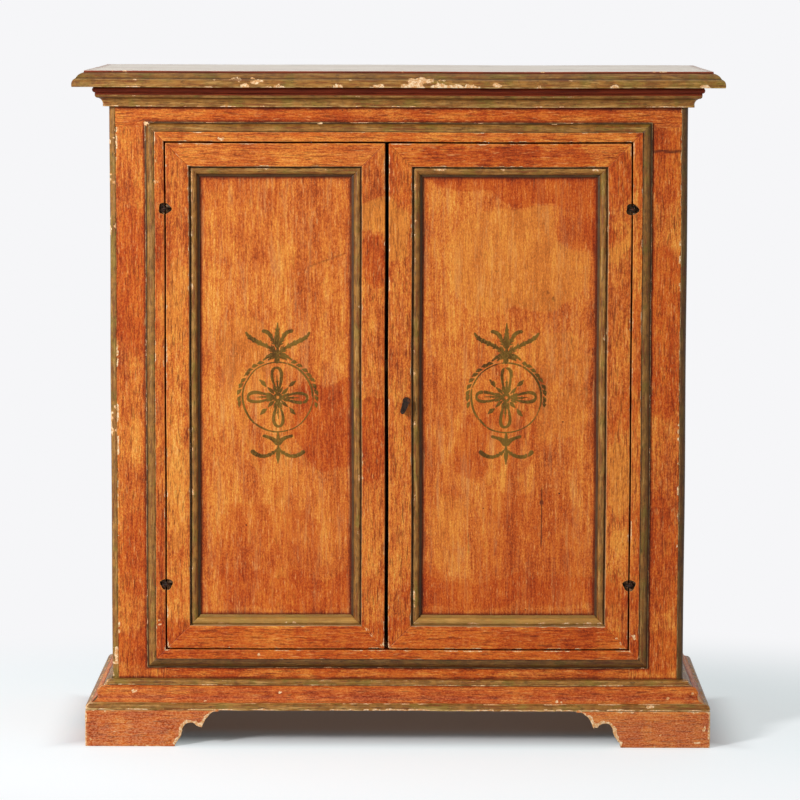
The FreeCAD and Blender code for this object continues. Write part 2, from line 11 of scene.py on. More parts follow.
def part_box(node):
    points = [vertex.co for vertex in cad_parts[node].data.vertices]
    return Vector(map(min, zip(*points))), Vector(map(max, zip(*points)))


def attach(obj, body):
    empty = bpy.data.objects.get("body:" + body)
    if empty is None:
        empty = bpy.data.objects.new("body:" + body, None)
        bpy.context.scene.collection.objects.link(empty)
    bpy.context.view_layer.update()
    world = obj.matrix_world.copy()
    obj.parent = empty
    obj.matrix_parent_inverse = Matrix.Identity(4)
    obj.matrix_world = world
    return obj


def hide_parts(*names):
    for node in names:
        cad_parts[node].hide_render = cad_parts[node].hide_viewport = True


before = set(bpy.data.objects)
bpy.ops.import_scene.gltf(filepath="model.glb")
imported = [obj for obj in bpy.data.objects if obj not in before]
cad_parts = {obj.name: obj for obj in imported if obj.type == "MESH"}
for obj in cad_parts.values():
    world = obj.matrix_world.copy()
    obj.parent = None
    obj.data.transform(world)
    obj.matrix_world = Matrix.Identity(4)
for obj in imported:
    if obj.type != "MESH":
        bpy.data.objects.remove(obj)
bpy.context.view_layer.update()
MM = 0.001
SEED = 17
SIDES = (("left", -1), ("right", 1))


# Driving places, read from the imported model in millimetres
def node_box(name):
    low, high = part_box(name)
    return np.array(low) / MM, np.array(high) / MM


TOP_LOW, TOP_HIGH = node_box("top_board")
STILE_LOW, STILE_HIGH = node_box("face_stile_right")
SURROUND_LOW, SURROUND_HIGH = node_box("surround_top")
BASE_LOW, BASE_HIGH = node_box("base_moulding_front")
EYES_LOW, EYES_HIGH = node_box("case_eyes_left")
CASE_HALF = node_box("corner_bead_right")[1][0]
STILE_OUTER, OPENING_HALF = STILE_HIGH[0], STILE_LOW[0]
OPENING_LOW = node_box("face_rail_bottom")[1][2]
OPENING_HIGH = node_box("face_rail_top")[0][2]
SURROUND_FOOT = node_box("surround_bottom")[0][2]
FACE_Y, FACE_BACK_Y = STILE_LOW[1], STILE_HIGH[1]
DOOR_FRONT_Y = SURROUND_LOW[1]
BACK_Y = TOP_HIGH[1]
CASE_LOW, CASE_TOP = BASE_LOW[2], TOP_LOW[2]
FRIEZE_LOW = SURROUND_HIGH[2] - 8
STILE_CHECK = 927.0
OPENING = (-OPENING_HALF, OPENING_HALF, OPENING_LOW, OPENING_HIGH)
SURROUNDED = (-SURROUND_HIGH[0], SURROUND_HIGH[0], SURROUND_FOOT, SURROUND_HIGH[2])

# Fields of chips: a wide and a fine noise, each with its scale, seed and the values it rises between
EDGE_CHIPS = ((30, 11, 0.48, 0.66), (7, 12, 0.40, 0.66))
TOP_CHIPS = ((24, 31, 0.58, 0.76), (6, 32, 0.45, 0.72))
ARRIS_CHIPS = ((20, 61, 0.50, 0.60), (6, 62, 0.40, 0.60))
BEAD_CHIPS = ((26, 66, 0.58, 0.70), (5, 67, 0.56, 0.68))
BRACKET_CHIPS = ((22, 53, 0.50, 0.72), (6, 54, 0.4, 0.7))


# Number helpers
def noise(points, scale, seed):
    """Smooth value noise from 0 to 1 at points in millimetres, about one change every scale millimetres."""
    p = np.asarray(points, float) / scale + 1000.0
    cell = np.floor(p).astype(np.int64)
    t = p - cell
    t = t * t * (3 - 2 * t)
    total = np.zeros(p.shape[:-1])
    for corner in np.ndindex(2, 2, 2):
        x, y, z = np.moveaxis(cell + np.array(corner), -1, 0)
        h = (x * 73856093) ^ (y * 19349663) ^ (z * 83492791) ^ (seed * 26544357)
        h = (h ^ (h >> 13)) * 1274126177
        h = (h ^ (h >> 16)) & 0xFFFF
        total += np.prod(np.where(corner, t, 1 - t), axis=-1) * h / 65535
    return total


def sway(points, scale, seed):
    """Noise from -0.5 to 0.5."""
    return noise(points, scale, seed) - 0.5


def step(low, high, value):
    """Rises smoothly from 0 at low to 1 at high."""
    t = np.clip((value - low) / (high - low), 0, 1)
    return t * t * (3 - 2 * t)


def risen(points, scale, seed, low, high):
    """Noise that rises from 0 to 1 between two of its values."""
    return step(low, high, noise(points, scale, seed))


def patches(points, wide, fine):
    """Scattered patches: wide noise broken up by fine noise."""
    return risen(points, *wide) * risen(points, *fine)


def bell(distance, reach):
    """Falls softly from 1 at no distance."""
    return np.exp(-distance ** 2 / reach ** 2)


def beyond(x, z, rectangle):
    """How far places lie outside a rectangle, below 0 inside it."""
    low_x, high_x, low_z, high_z = rectangle
    return np.maximum.reduce([low_x - x, x - high_x, low_z - z, z - high_z])


def along_line(places, start, end):
    """Where along a line places lie nearest to it, from 0 to 1, and how far from it."""
    way = end - start
    t = np.clip((places - start) @ way / max(way @ way, 1e-9), 0, 1)
    return t, np.hypot(*np.moveaxis(places - start - t[..., None] * way, -1, 0))


def warp(points):
    """Slight waviness of hand work, one field for the whole piece of furniture so that joints stay closed."""
    x, y, z = np.moveaxis(points, -1, 0)
    return np.stack([
        0.28 * np.sin(z / 61 + 1.3) + 0.22 * np.sin(z / 137 + x / 90),
        0.25 * np.sin(x / 83 + z / 117) + 0.18 * np.sin(z / 47 + 0.7),
        0.26 * np.sin(x / 71 + 2.1) + 0.20 * np.sin(x / 149 + y / 80 + 0.4),
    ], -1)


# Stains of the front: middle in x and z, half width, half height and strength, below 0 for pale ones
STAINS = (
    (120, 906, 90, 36, 0.75), (225, 888, 92, 50, 0.85), (292, 842, 50, 66, 0.85), (190, 760, 110, 80, -0.45),
    (-104, 500, 54, 66, 0.75), (-130, 700, 46, 110, 0.15), (-250, 880, 80, 45, 0.25), (-36, 752, 26, 34, 0.8),
    (-36, 825, 26, 34, -0.75), (2, 905, 30, 66, 0.55), (2, 800, 24, 34, -0.6), (-36, 480, 26, 60, 0.7),
    (340, 880, 22, 40, 0.7), (338, 795, 16, 30, -0.7), (344, 420, 20, 46, -0.7), (344, 330, 18, 24, -0.6),
    (345, 520, 18, 40, 0.6), (-342, 690, 18, 60, -0.5), (-342, 380, 18, 80, -0.45), (150, 470, 70, 50, 0.4),
    (-205, 296, 84, 84, 0.4), (200, 300, 100, 96, 0.36), (-240, 600, 40, 70, -0.35), (90, 330, 40, 60, -0.3),
    (-402, 720, 40, 110, 0.55), (-400, 300, 30, 70, 0.4), (402, 650, 36, 130, 0.65), (402, 300, 34, 90, 0.4),
    (-200, 980, 120, 18, 0.5), (180, 985, 160, 16, 0.55), (402, 900, 36, 50, 0.4), (-400, 480, 30, 60, -0.35),
    (0, 150, 470, 40, 0.75), (-190, 240, 170, 26, 0.35), (190, 236, 190, 24, 0.5), (40, 82, 420, 14, 0.3),
    (143, 450, 6, 50, -0.6), (166, 445, 5, 46, -0.55), (192, 470, 5, 60, -0.5), (-178, 430, 5, 60, -0.4),
    (-226, 470, 5, 50, -0.4), (60, 240, 60, 40, 0.4), (-120, 235, 50, 30, 0.35), (300, 225, 50, 26, 0.3),
    (250, 560, 50, 90, -0.3),
)


def fade(points):
    """Stains of the front, from -1 for rubbed and pale to 1 for red and dark."""
    x, y, z = np.moveaxis(points, -1, 0)
    ragged = 7 * sway(points, 11, 7)
    drift_x = x + 34 * sway(points, 38, 5) + ragged
    drift_z = z + 34 * sway(points, 38, 6) + ragged
    total = 0.26 * step(0.0, 4.0, beyond(x, z, OPENING)) + 0.2 * step(58.0, 54.0, z)
    for middle_x, middle_z, half_x, half_z, strength in STAINS:
        across, up = np.abs((drift_x - middle_x) / half_x), np.abs((drift_z - middle_z) / half_z)
        total += strength * step(1.05, 0.93, (across ** 3 + up ** 3) ** (1 / 3))
    return np.clip(total, -1, 1) * step(-120.0, -150.0, y)


# Places on the front where paint was knocked off: x, z, half width, half height
SCARS = (
    (-412, 84, 6, 3), (-184, 83, 6, 3.4), (-300, 70, 5, 2), (40, 86, 4, 2), (394, 64, 8, 2.4),
    (423, 75, 6, 3), (464, 82, 6, 5), (250, 70, 6, 2), (-371, 192, 2.5, 7), (-265, 150, 7, 2.5),
    (-217, 141, 4, 3), (423, 133, 4, 2.5), (420, 128, 2.5, 2), (369, 169, 3.5, 5), (375, 135, 3, 6),
    (-355, 949, 6, 3), (-277, 946, 7, 3), (-389, 968, 4, 5), (-374, 912, 2.5, 4), (-375, 878, 2.5, 5),
    (373, 915, 2, 2.5), (335, 174, 3, 3), (342, 167, 2.5, 2.5), (348, 161, 3, 3), (354, 155, 3, 3),
    (-436, 958, 2.5, 6), (-438, 923, 2.5, 5), (-30, 140, 3, 2), (478, 30, 4, 6), (470, 8, 8, 3),
    (-476, 10, 5, 4), (-440, 24, 4, 2), (410, 20, 5, 2), (-360, 151, 4, 4), (-120, 969, 4, 2),
    (240, 967, 5, 2), (-48, 181, 2.5, 2.5), (-40, 173, 2.5, 2.5), (-33, 166, 2.5, 2.5), (-27, 160, 3, 3),
    (-22, 155, 4, 3), (484, 57, 6, 4), (479, 45, 4, 4), (486, 64, 4, 3), (462, 97, 5, 3),
)
SCAR_REACH = 2.5


def scarred(points):
    """How much paint was knocked off at points of the front."""
    total = np.zeros(points.shape[:-1])
    for x, z, half_x, half_z in SCARS:
        across, up = (points[..., 0] - x) / half_x, (points[..., 2] - z) / half_z
        near = (np.abs(across) < SCAR_REACH) & (np.abs(up) < SCAR_REACH) & (points[..., 1] < FACE_Y + 2)
        lost = 0.95 - np.hypot(across[near], up[near]) + 2.4 * sway(points[near], 3.6, 65)
        total[near] = np.maximum(total[near], np.clip(lost, 0, 1))
    return total


# Sections: closed outlines of (a, b, paint) or (a, b, paint, rise over chord of the arc that arrives there)
ARC_CHORD = 1.5
ARRIS_TURN = math.radians(28)
ARRIS_BAND = 1.5
LONG_RUN = 3.0


def opened(points):
    """The outline with its arcs opened into short chords."""
    out = []
    for before, point in zip(points[-1:] + points[:-1], points):
        if len(point) == 3:
            out.append(point)
            continue
        start, end = np.array(before[:2], float), np.array(point[:2], float)
        chord = end - start
        length = np.hypot(*chord)
        half = 2 * math.atan(2 * point[3])
        count = max(4, int(length / ARC_CHORD))
        left = np.array((-chord[1], chord[0])) / length
        for i in range(1, count + 1):
            angle = half * (2 * i / count - 1)
            along = (math.sin(angle) / math.sin(half) + 1) / 2
            rise = length / (2 * math.sin(half)) * (math.cos(angle) - math.cos(half))
            out.append((*(start + chord * along + left * rise), point[2]))
    return out


def section(points, radius, spacing):
    """Rounds the outward corners and fills long runs.

    Gives the places, their wear, their dirt and painted shade in the creases, the paint of the run that
    arrives, and the way inward.
    """
    raw = opened(points)
    flat = np.array([p[:2] for p in raw], float)
    after = np.roll(flat, -1, 0)
    turn = np.sign(np.sum(flat[:, 0] * after[:, 1] - after[:, 0] * flat[:, 1]))
    cut = []
    for i, here in enumerate(flat):
        paint, next_paint = raw[i][2], raw[(i + 1) % len(raw)][2]
        d1, d2 = here - flat[i - 1], after[i] - here
        n1, n2 = np.hypot(*d1), np.hypot(*d2)
        bend = turn * math.atan2(d1[0] * d2[1] - d1[1] * d2[0], d1 @ d2)
        # Inward corners (creases) take dirt and painted shade; outward ones are rounded and worn.
        if bend < ARRIS_TURN:
            cut.append((here, 0.0, 1.0 * (bend < -ARRIS_TURN), paint))
            continue
        r = min(radius, 0.4 * n1, 0.4 * n2)
        first, second = here - d1 / n1 * r, here + d2 / n2 * r
        cut.append((first, 0.45, 0.0, paint))
        cut.append(((first + 2 * here + second) / 4, 1.0, 0.0, paint))
        cut.append((second, 0.45, 0.0, next_paint))
    rows = []
    for (last, last_wear, last_grime, _), (here, wear, grime, paint) in zip(cut[-1:] + cut[:-1], cut):
        length = np.hypot(*(here - last))
        if length > LONG_RUN:
            for d in np.linspace(1.0, length - 1.0, max(2, int(length / spacing) + 1)):
                by_last, by_here = d < ARRIS_BAND, length - d < ARRIS_BAND
                inner_wear = 0.6 * max(last_wear * by_last, wear * by_here)
                inner_grime = 0.55 * max(last_grime * by_last, grime * by_here)
                rows.append((last + (here - last) * d / length, inner_wear, inner_grime, paint))
        rows.append((here, wear, grime, paint))
    places, wear, grime, paint = zip(*rows)
    places = np.array(places)
    tangent = np.roll(places, -1, 0) - np.roll(places, 1, 0)
    tangent /= np.maximum(np.hypot(tangent[:, 0], tangent[:, 1]), 1e-9)[:, None]
    inward = turn * np.stack([-tangent[:, 1], tangent[:, 0]], -1)
    return places, np.array(wear), np.array(grime), paint, inward


class Shape:
    """Vertices in millimetres with their wear, chips, dirt and painted shade, and grain,
    and faces with their paint.
    """

    def __init__(self):
        self.points, self.wear, self.chip, self.grime, self.grain, self.extra = [], [], [], [], [], {}
        self.faces, self.paint, self.flat = [], [], []
        self.count = 0

    def add(self, points, axis, offset, wear=0.0, chip=0.0, grime=0.0):
        """Adds a part whose grain runs along an axis. Gives the number of its first vertex."""
        lead = points.shape[:-1]
        points = points.reshape(-1, 3)
        order = [i for i in range(3) if i != axis] + [axis]
        self.points.append(points)
        for kept, value in ((self.wear, wear), (self.chip, chip), (self.grime, grime)):
            kept.append(np.broadcast_to(value, lead).reshape(-1))
        self.grain.append(points[:, order] + np.array(offset))
        start = self.count
        self.count += len(points)
        return start

    def lift(self, kind, part, least):
        """Lets the chips or the dirt and painted shade of a part be no less than a value."""
        kept = getattr(self, kind)
        kept[part] = np.maximum(kept[part], least)

    def face(self, corners, paint):
        self.faces.append(tuple(corners))
        self.paint.append(paint)

    def stitch(self, one, two, paints, inward=False):
        """Joins two closed rings of vertices by quads, with a paint for each."""
        for k, paint in enumerate(paints):
            n = (k + 1) % len(one)
            corners = (one[k], two[k], two[n], one[n]) if inward else (one[k], one[n], two[n], two[k])
            self.face(corners, paint)

    def net(self, first, columns, rows, paint):
        """Faces of a grid of vertices."""
        for i in range(columns - 1):
            for j in range(rows - 1):
                a = first + i * rows + j
                self.face((a, a + rows, a + rows + 1, a + 1), paint)


def border(columns, rows):
    """Columns and rows of the places round a grid, in order."""
    ring = [(i, 0) for i in range(columns)] + [(columns - 1, j) for j in range(1, rows)]
    ring += [(i, rows - 1) for i in range(columns - 2, -1, -1)] + [(0, j) for j in range(rows - 2, 0, -1)]
    return np.array(ring).T


OFFSETS = np.random.default_rng(SEED)
END_RINGS = np.array((0, 0.5, 1.6))
CHIP_DEPTH = 0.95


def next_offset():
    return OFFSETS.uniform(-3000, 3000, 3)


def swept(
    shape, points, place, ends, wear=1.0, worn=0.42, pitch=4.0, radius=0.9, spacing=8.0, soft=0.45,
    offset=None, seat=None, painted_shade=(), bright=(), corner=(0, 0), joint=0.0,
):
    """Sweeps a section from end to end. Each end is (place, slope): the slope makes the mitre.

    wear and worn scale the chips and the rubbing of the arrises. soft rounds the ends, corner is their wear
    and joint their dirt. All beyond the depth seat takes dirt and painted shade. The spots that darken are
    painted shade lines of the section; the spots that brighten raise the rubbing and the chips, and on the
    cornice, the surround and the door beads they lay painted highlights. Each spot has (a, b, reach, amount),
    and a brightening spot makes the place less worn where its amount is below 0.
    """
    profile, arris, grime, paint, inward = section(points, radius, spacing)
    arris = arris * np.where(np.array(paint) == "red", 0.3, 1.0)
    # Painted shade lines, then painted highlights and wear, at spots of the section.
    for a, b, reach, amount in painted_shade:
        grime = np.maximum(grime, amount * bell(np.hypot(profile[:, 0] - a, profile[:, 1] - b), reach))
    for a, b, reach, amount in bright:
        close = bell(np.hypot(profile[:, 0] - a, profile[:, 1] - b), reach)
        arris = np.maximum(arris, amount * close) if amount > 0 else arris * (1 + amount * close)
    # Dirt and painted shade along the seat, where the moulding meets what it is fixed to.
    if seat is not None:
        grime = np.maximum(grime, 0.95 * (profile[:, 1] > seat - 0.4))
    (start, start_slope), (stop, stop_slope) = ends
    length = stop - start
    steps = max(2, int(round((length - 6) / pitch)))
    along = np.concatenate([END_RINGS, np.linspace(3, length - 3, steps), length - END_RINGS[::-1]]) / length
    inset = np.zeros(len(along))
    inset[[0, -1]] = soft
    inset[[1, -2]] = 0.3 * soft
    flat = profile[None] + inward[None] * inset[:, None, None]

    def spread(flat):
        low = start + start_slope * flat[..., 0]
        high = stop + stop_slope * flat[..., 0]
        return place(flat[..., 0], flat[..., 1], low + (high - low) * along[:, None])

    arris, grime = np.tile(arris, (len(along), 1)), np.tile(grime, (len(along), 1))
    near = np.exp(-np.stack([along, 1 - along]) * length / 1.5)
    arris = np.maximum(arris, (near[0] * corner[0] + near[1] * corner[1])[:, None])
    grime[[0, -1]] = np.maximum(grime[[0, -1]], joint)
    nominal = spread(flat)
    loss = 1.3 * patches(nominal, *EDGE_CHIPS) + worn * risen(nominal, 14, 13, 0.30, 0.9)
    chip = np.maximum(np.clip(arris * wear * loss, 0, 1), scarred(nominal))
    solid = spread(flat + inward[None] * (CHIP_DEPTH * chip + 0.15 * arris)[..., None])
    axis = int(np.argmax(np.abs(solid[-1].mean(0) - solid[0].mean(0))))
    offset = next_offset() if offset is None else offset
    first = shape.add(solid + warp(nominal), axis, offset, arris, chip, grime)
    rings = np.arange(first, shape.count).reshape(solid.shape[:2]).tolist()
    for one, two in zip(rings[:-1], rings[1:]):
        shape.stitch(one, two, paint[1:] + paint[:1])
    shape.face(rings[0][::-1], "bare")
    shape.face(rings[-1], "bare")


def boarded(shape, low, high, axis, paints, **options):
    """A board along an axis, with paints for the low and high sides of its first and second cross axis."""
    one, two = [i for i in range(3) if i != axis]
    points = [
        (low[one], low[two], paints[0]), (high[one], low[two], paints[2]),
        (high[one], high[two], paints[1]), (low[one], high[two], paints[3]),
    ]

    def place(a, b, s):
        out = np.empty(a.shape + (3,))
        out[..., one], out[..., two], out[..., axis] = a, b, s
        return out

    swept(shape, points, place, ((low[axis], 0), (high[axis], 0)), **options)


def frame_runs(rectangle, points, way, **options):
    """Four mitred strips round a rectangle, by side, outward for a way of 1 and inward for -1.

    Sections are (distance from the rectangle, depth behind the front of the doors).
    """
    low_x, high_x, low_z, high_z = rectangle
    level, upright = ((low_x, -way), (high_x, way)), ((low_z, -way), (high_z, way))
    runs = {
        "top": (lambda w, t, s: (s, DOOR_FRONT_Y + t, high_z + way * w), level),
        "bottom": (lambda w, t, s: (s, DOOR_FRONT_Y + t, low_z - way * w), level),
        "left": (lambda w, t, s: (low_x - way * w, DOOR_FRONT_Y + t, s), upright),
        "right": (lambda w, t, s: (high_x + way * w, DOOR_FRONT_Y + t, s), upright),
    }
    made = {}
    for side, (place, ends) in runs.items():
        made[side] = Shape()
        swept(made[side], points, lambda w, t, s: np.stack(place(w, t, s), -1), ends, **options)
    return made


# Materials
def linear(r, g, b):
    """A colour of the screen, as light."""
    levels = (c / 255 for c in (r, g, b))
    return *(c / 12.92 if c <= 0.04 else ((c + 0.055) / 1.055) ** 2.4 for c in levels), 1.0


class Nodes:
    """Short calls for the nodes of a material or a world."""

    def __init__(self, tree):
        self.tree = tree

    def put(self, socket, value):
        if isinstance(value, bpy.types.NodeSocket):
            self.tree.links.new(value, socket)
        else:
            socket.default_value = value

    def node(self, kind, output, values, **settings):
        made = self.tree.nodes.new(kind)
        for key, value in settings.items():
            setattr(made, key, value)
        for key, value in values.items():
            self.put(made.inputs[key], value)
        return made.outputs[output]

    def value(self, name):
        return self.node("ShaderNodeAttribute", "Fac", {}, attribute_name=name)

    def grain(self):
        return self.node("ShaderNodeAttribute", "Vector", {}, attribute_name="grain")

    def place(self):
        return self.node("ShaderNodeTexCoord", "Object", {})

    def scaled(self, vector, by):
        return self.node("ShaderNodeVectorMath", 0, {0: vector, 1: by}, operation="MULTIPLY")

    def noise(self, vector, scale, detail=4.0, rough=0.6, twist=0.0):
        values = {"Vector": vector, "Scale": scale, "Detail": detail, "Roughness": rough, "Distortion": twist}
        return self.node("ShaderNodeTexNoise", "Fac", values)

    def streaks(self, grain, across, along, detail=4.0, rough=0.6, twist=0.0):
        """Noise drawn out along the grain."""
        return self.noise(self.scaled(grain, (across, across, along)), 1.0, detail, rough, twist)

    def math(self, kind, a, b=0.0):
        return self.node("ShaderNodeMath", 0, {0: a, 1: b}, operation=kind)

    def plus(self, a, b):
        return self.math("ADD", a, b)

    def minus(self, a, b):
        return self.math("SUBTRACT", a, b)

    def times(self, a, b):
        return self.math("MULTIPLY", a, b)

    def swing(self, value, amount):
        """A noise about 0 in place of about one half, times an amount."""
        return self.times(self.minus(value, 0.5), amount)

    def soft(self, value, low, high, bottom=0.0, top=1.0):
        values = {"Value": value, "From Min": low, "From Max": high, "To Min": bottom, "To Max": top}
        return self.node("ShaderNodeMapRange", 0, values, interpolation_type="SMOOTHSTEP")

    def mix(self, factor, a, b, kind="MIX"):
        return self.node("ShaderNodeMix", 2, {0: factor, 6: a, 7: b}, data_type="RGBA", blend_type=kind)

    def ramp(self, value, stops):
        made = self.node("ShaderNodeValToRGB", 0, {0: value})
        points = made.node.color_ramp.elements
        while len(points) < len(stops):
            points.new(0.5)
        for point, (position, colour) in zip(points, stops):
            point.position = position
            point.color = linear(*colour)
        return made

    def bump(self, height, strength, distance):
        return self.node("ShaderNodeBump", 0, {"Height": height, "Strength": strength, "Distance": distance})

    def seen(self):
        """1 for what the eye sees, straight or by gloss or glass, and 0 for light that falls on the part."""
        rays = self.tree.nodes.new("ShaderNodeLightPath").outputs
        either = self.math("MAXIMUM", rays["Is Camera Ray"], rays["Is Glossy Ray"])
        return self.math("MAXIMUM", either, rays["Is Transmission Ray"])


GESSO = linear(244, 214, 170)
OLD_WOOD = linear(210, 152, 94)


class Paint(Nodes):
    """A material whose colour is laid on in coats."""

    def __init__(self, name):
        self.material = bpy.data.materials.new(name)
        self.material.use_nodes = True
        super().__init__(self.material.node_tree)
        self.shader = self.tree.nodes["Principled BSDF"]
        self.colour = None

    def ground(self, value, low, high, one, other):
        """The first coat, from one colour to another where a value rises."""
        self.colour = self.mix(self.soft(value, low, high), linear(*one), linear(*other))

    def coat(self, amount, colour):
        self.colour = self.mix(amount, self.colour, linear(*colour))

    def veil(self, value, low, high, most, colour):
        """A coat where a value rises from low to high, that covers by so much at most."""
        self.coat(self.soft(value, low, high, 0.0, most), colour)

    def chipped(self, grain, thin):
        """Lays thin worn edges, painted highlights among them, and gesso chips over the paint,
        by the wear and chip values of the mesh.
        """
        rubbing = self.soft(self.streaks(grain, 210, 60, 5.0), 0.40, 0.62)
        rub_and_highlight = self.times(self.soft(self.value("wear"), 0.25, 0.9), rubbing)
        self.coat(self.times(rub_and_highlight, 0.75), thin)
        bare = self.plus(self.value("chip"), self.swing(self.noise(grain, 620, 3.0), 0.55))
        bare = self.soft(bare, 0.46, 0.54)
        inside = self.mix(self.soft(self.noise(grain, 260, 3.0), 0.36, 0.60), GESSO, OLD_WOOD)
        self.colour = self.mix(bare, self.colour, inside)
        return bare

    def finish(self, rough, normal=None, specular=None):
        self.put(self.shader.inputs["Base Color"], self.colour)
        self.put(self.shader.inputs["Roughness"], rough)
        if normal is not None:
            self.put(self.shader.inputs["Normal"], normal)
        if specular is not None:
            self.shader.inputs["Specular IOR Level"].default_value = specular
        return self.material


def orange_paint():
    p = Paint("orange_paint_grained")
    grain, place = p.grain(), p.place()
    framed, grime, stain, motif, crack = map(p.value, ("framed", "grime", "stain", "motif", "crack"))
    # Graining in layers, from clouds to fine specks
    blotch = p.noise(p.scaled(place, (1.0, 1.0, 0.5)), 24, 6.0, 0.62, 0.6)
    cloud = p.noise(place, 5.5, 4.0, 0.55, 0.4)
    band = p.streaks(grain, 34, 2.2, 4.0, 0.6, 0.5)
    streak = p.streaks(grain, 260, 15, 5.0, 0.66, 0.5)
    comb = p.streaks(grain, 360, 40, 4.0, 0.70)
    dash = p.streaks(grain, 430, 64, 3.0)
    mottle = p.streaks(grain, 480, 300, 5.0, 0.74)
    layers = ((blotch, 0.50), (cloud, 0.24), (band, 0.42), (streak, 0.46), (comb, 0.42), (mottle, 0.92))
    tone = 0.596
    for layer, amount in layers:
        tone = p.plus(tone, p.swing(layer, amount))
    # The ramp darkens with dirt and painted shade.
    p.colour = p.ramp(p.minus(tone, p.times(grime, 0.22)), (
        (0.20, (78, 28, 10)), (0.38, (146, 60, 20)), (0.53, (192, 92, 33)), (0.65, (214, 123, 47)),
        (0.77, (228, 150, 61)), (0.95, (247, 193, 102)),
    ))
    # Dull streaks, most of them on the panels
    haze = p.soft(p.streaks(grain, 150, 11, 6.0, 0.72, 0.4), 0.50, 0.66, 0.0, 0.36)
    p.coat(p.times(haze, p.soft(framed, 0.0, 1.0, 1.0, 0.3)), (204, 146, 90))
    # Stains with ragged edges
    shift = p.swing(p.noise(place, 75, 5.0, 0.65), 0.7)
    red = p.times(p.soft(p.plus(stain, shift), 0.16, 0.34), p.soft(stain, 0.0, 0.9, 0.25, 1.0))
    pale = p.times(p.soft(p.minus(shift, stain), 0.16, 0.34), p.soft(stain, 0.0, -0.9, 0.25, 1.0))
    p.colour = p.mix(red, p.colour, (0.84, 0.58, 0.46, 1.0), "MULTIPLY")
    p.coat(p.times(pale, 0.38), (229, 154, 61))
    # Flecks, and long strokes on the frames
    flecks = p.soft(dash, 0.55, 0.68, 0.0, 0.6)
    p.coat(p.times(flecks, p.plus(0.6, p.times(framed, 0.4))), (106, 36, 10))
    p.veil(dash, 0.42, 0.30, 0.42, (241, 176, 104))
    strokes = p.soft(p.streaks(grain, 400, 34, 4.0, 0.66, 0.6), 0.54, 0.64, 0.0, 0.7)
    p.coat(p.times(strokes, framed), (98, 34, 12))
    # The painted ornament, rubbed through
    cover = p.plus(p.plus(motif, p.swing(comb, 0.9)), p.swing(mottle, 1.0))
    cover = p.minus(cover, p.soft(p.streaks(grain, 150, 40, 5.0, 0.7), 0.54, 0.70, 0.0, 0.75))
    ink = p.mix(p.soft(blotch, 0.36, 0.60), linear(58, 42, 10), linear(108, 84, 28))
    ink = p.mix(p.soft(mottle, 0.50, 0.66, 0.0, 0.7), ink, linear(138, 110, 46))
    inked = p.times(p.soft(cover, 0.20, 0.42, 0.0, 0.94), p.soft(motif, 0.02, 0.12))
    p.colour = p.mix(inked, p.colour, ink)
    # Dirt and painted shade, cracks, worm holes, and dust near the floor
    p.veil(grime, 0.3, 1.0, 0.7, (84, 30, 12))
    p.coat(crack, (62, 22, 14))
    hole = p.node("ShaderNodeTexVoronoi", "Distance", {"Vector": place, "Scale": 17.0, "Randomness": 1.0})
    p.veil(hole, 0.026, 0.018, 1.0, (60, 22, 14))
    above = p.node("ShaderNodeSeparateXYZ", "Z", {"Vector": place})
    p.coat(p.times(p.soft(above, 0.11, 0.02), p.soft(mottle, 0.40, 0.66, 0.0, 0.5)), (206, 152, 118))
    bare = p.chipped(grain, (226, 160, 92))
    height = p.plus(p.times(comb, 0.6), p.times(dash, -0.8))
    height = p.minus(p.plus(height, inked), p.times(crack, 2.0))
    rough = p.plus(p.soft(streak, 0.3, 0.7, 0.42, 0.56), p.times(bare, 0.3))
    return p.finish(rough, p.bump(height, 0.35, 0.0006), 0.14)


def green_paint():
    p = Paint("green_paint_worn_painted_shade_and_light")
    grain, place = p.grain(), p.place()
    drag = p.streaks(grain, 300, 24, 5.0, 0.65)
    speck = p.noise(grain, 420, 4.0, 0.65)
    p.ground(p.noise(place, 60, 5.0, 0.65, 0.5), 0.38, 0.62, (158, 108, 46), (126, 84, 34))
    p.veil(p.noise(place, 26), 0.50, 0.64, 0.6, (122, 106, 36))
    p.veil(drag, 0.51, 0.64, 0.85, (118, 58, 20))
    p.veil(drag, 0.47, 0.32, 0.75, (194, 148, 84))
    p.veil(p.streaks(grain, 560, 80, 3.0), 0.55, 0.66, 0.75, (74, 46, 14))
    p.veil(speck, 0.62, 0.74, 0.6, (204, 160, 96))
    # Painted light: paler where the bottom beads face up.
    p.coat(p.times(p.value("pale"), 0.4), (204, 156, 78))
    # Dirt and painted shade in the creases, along the seats and on runs that face down or away from the
    # light.
    p.coat(p.times(p.value("grime"), 0.88), (40, 20, 8))
    bare = p.chipped(grain, (222, 186, 122))
    rough = p.plus(p.soft(speck, 0.3, 0.7, 0.36, 0.52), p.times(bare, 0.4))
    return p.finish(rough, p.bump(p.plus(drag, speck), 0.3, 0.0005), 0.24)


def red_paint():
    p = Paint("red_fillet_worn_painted_shade")
    grain = p.grain()
    drag = p.streaks(grain, 300, 16, 5.0, 0.65)
    speck = p.noise(grain, 380, 4.0, 0.65)
    p.ground(drag, 0.40, 0.64, (146, 58, 30), (104, 36, 18))
    p.veil(speck, 0.58, 0.72, 0.6, (112, 80, 40))
    # Dirt and painted shade, darkest under the top's overhang.
    p.coat(p.times(p.value("grime"), 0.8), (40, 18, 10))
    bare = p.chipped(grain, (170, 104, 66))
    return p.finish(p.plus(0.5, p.times(bare, 0.3)), p.bump(p.plus(drag, speck), 0.3, 0.0005), 0.14)


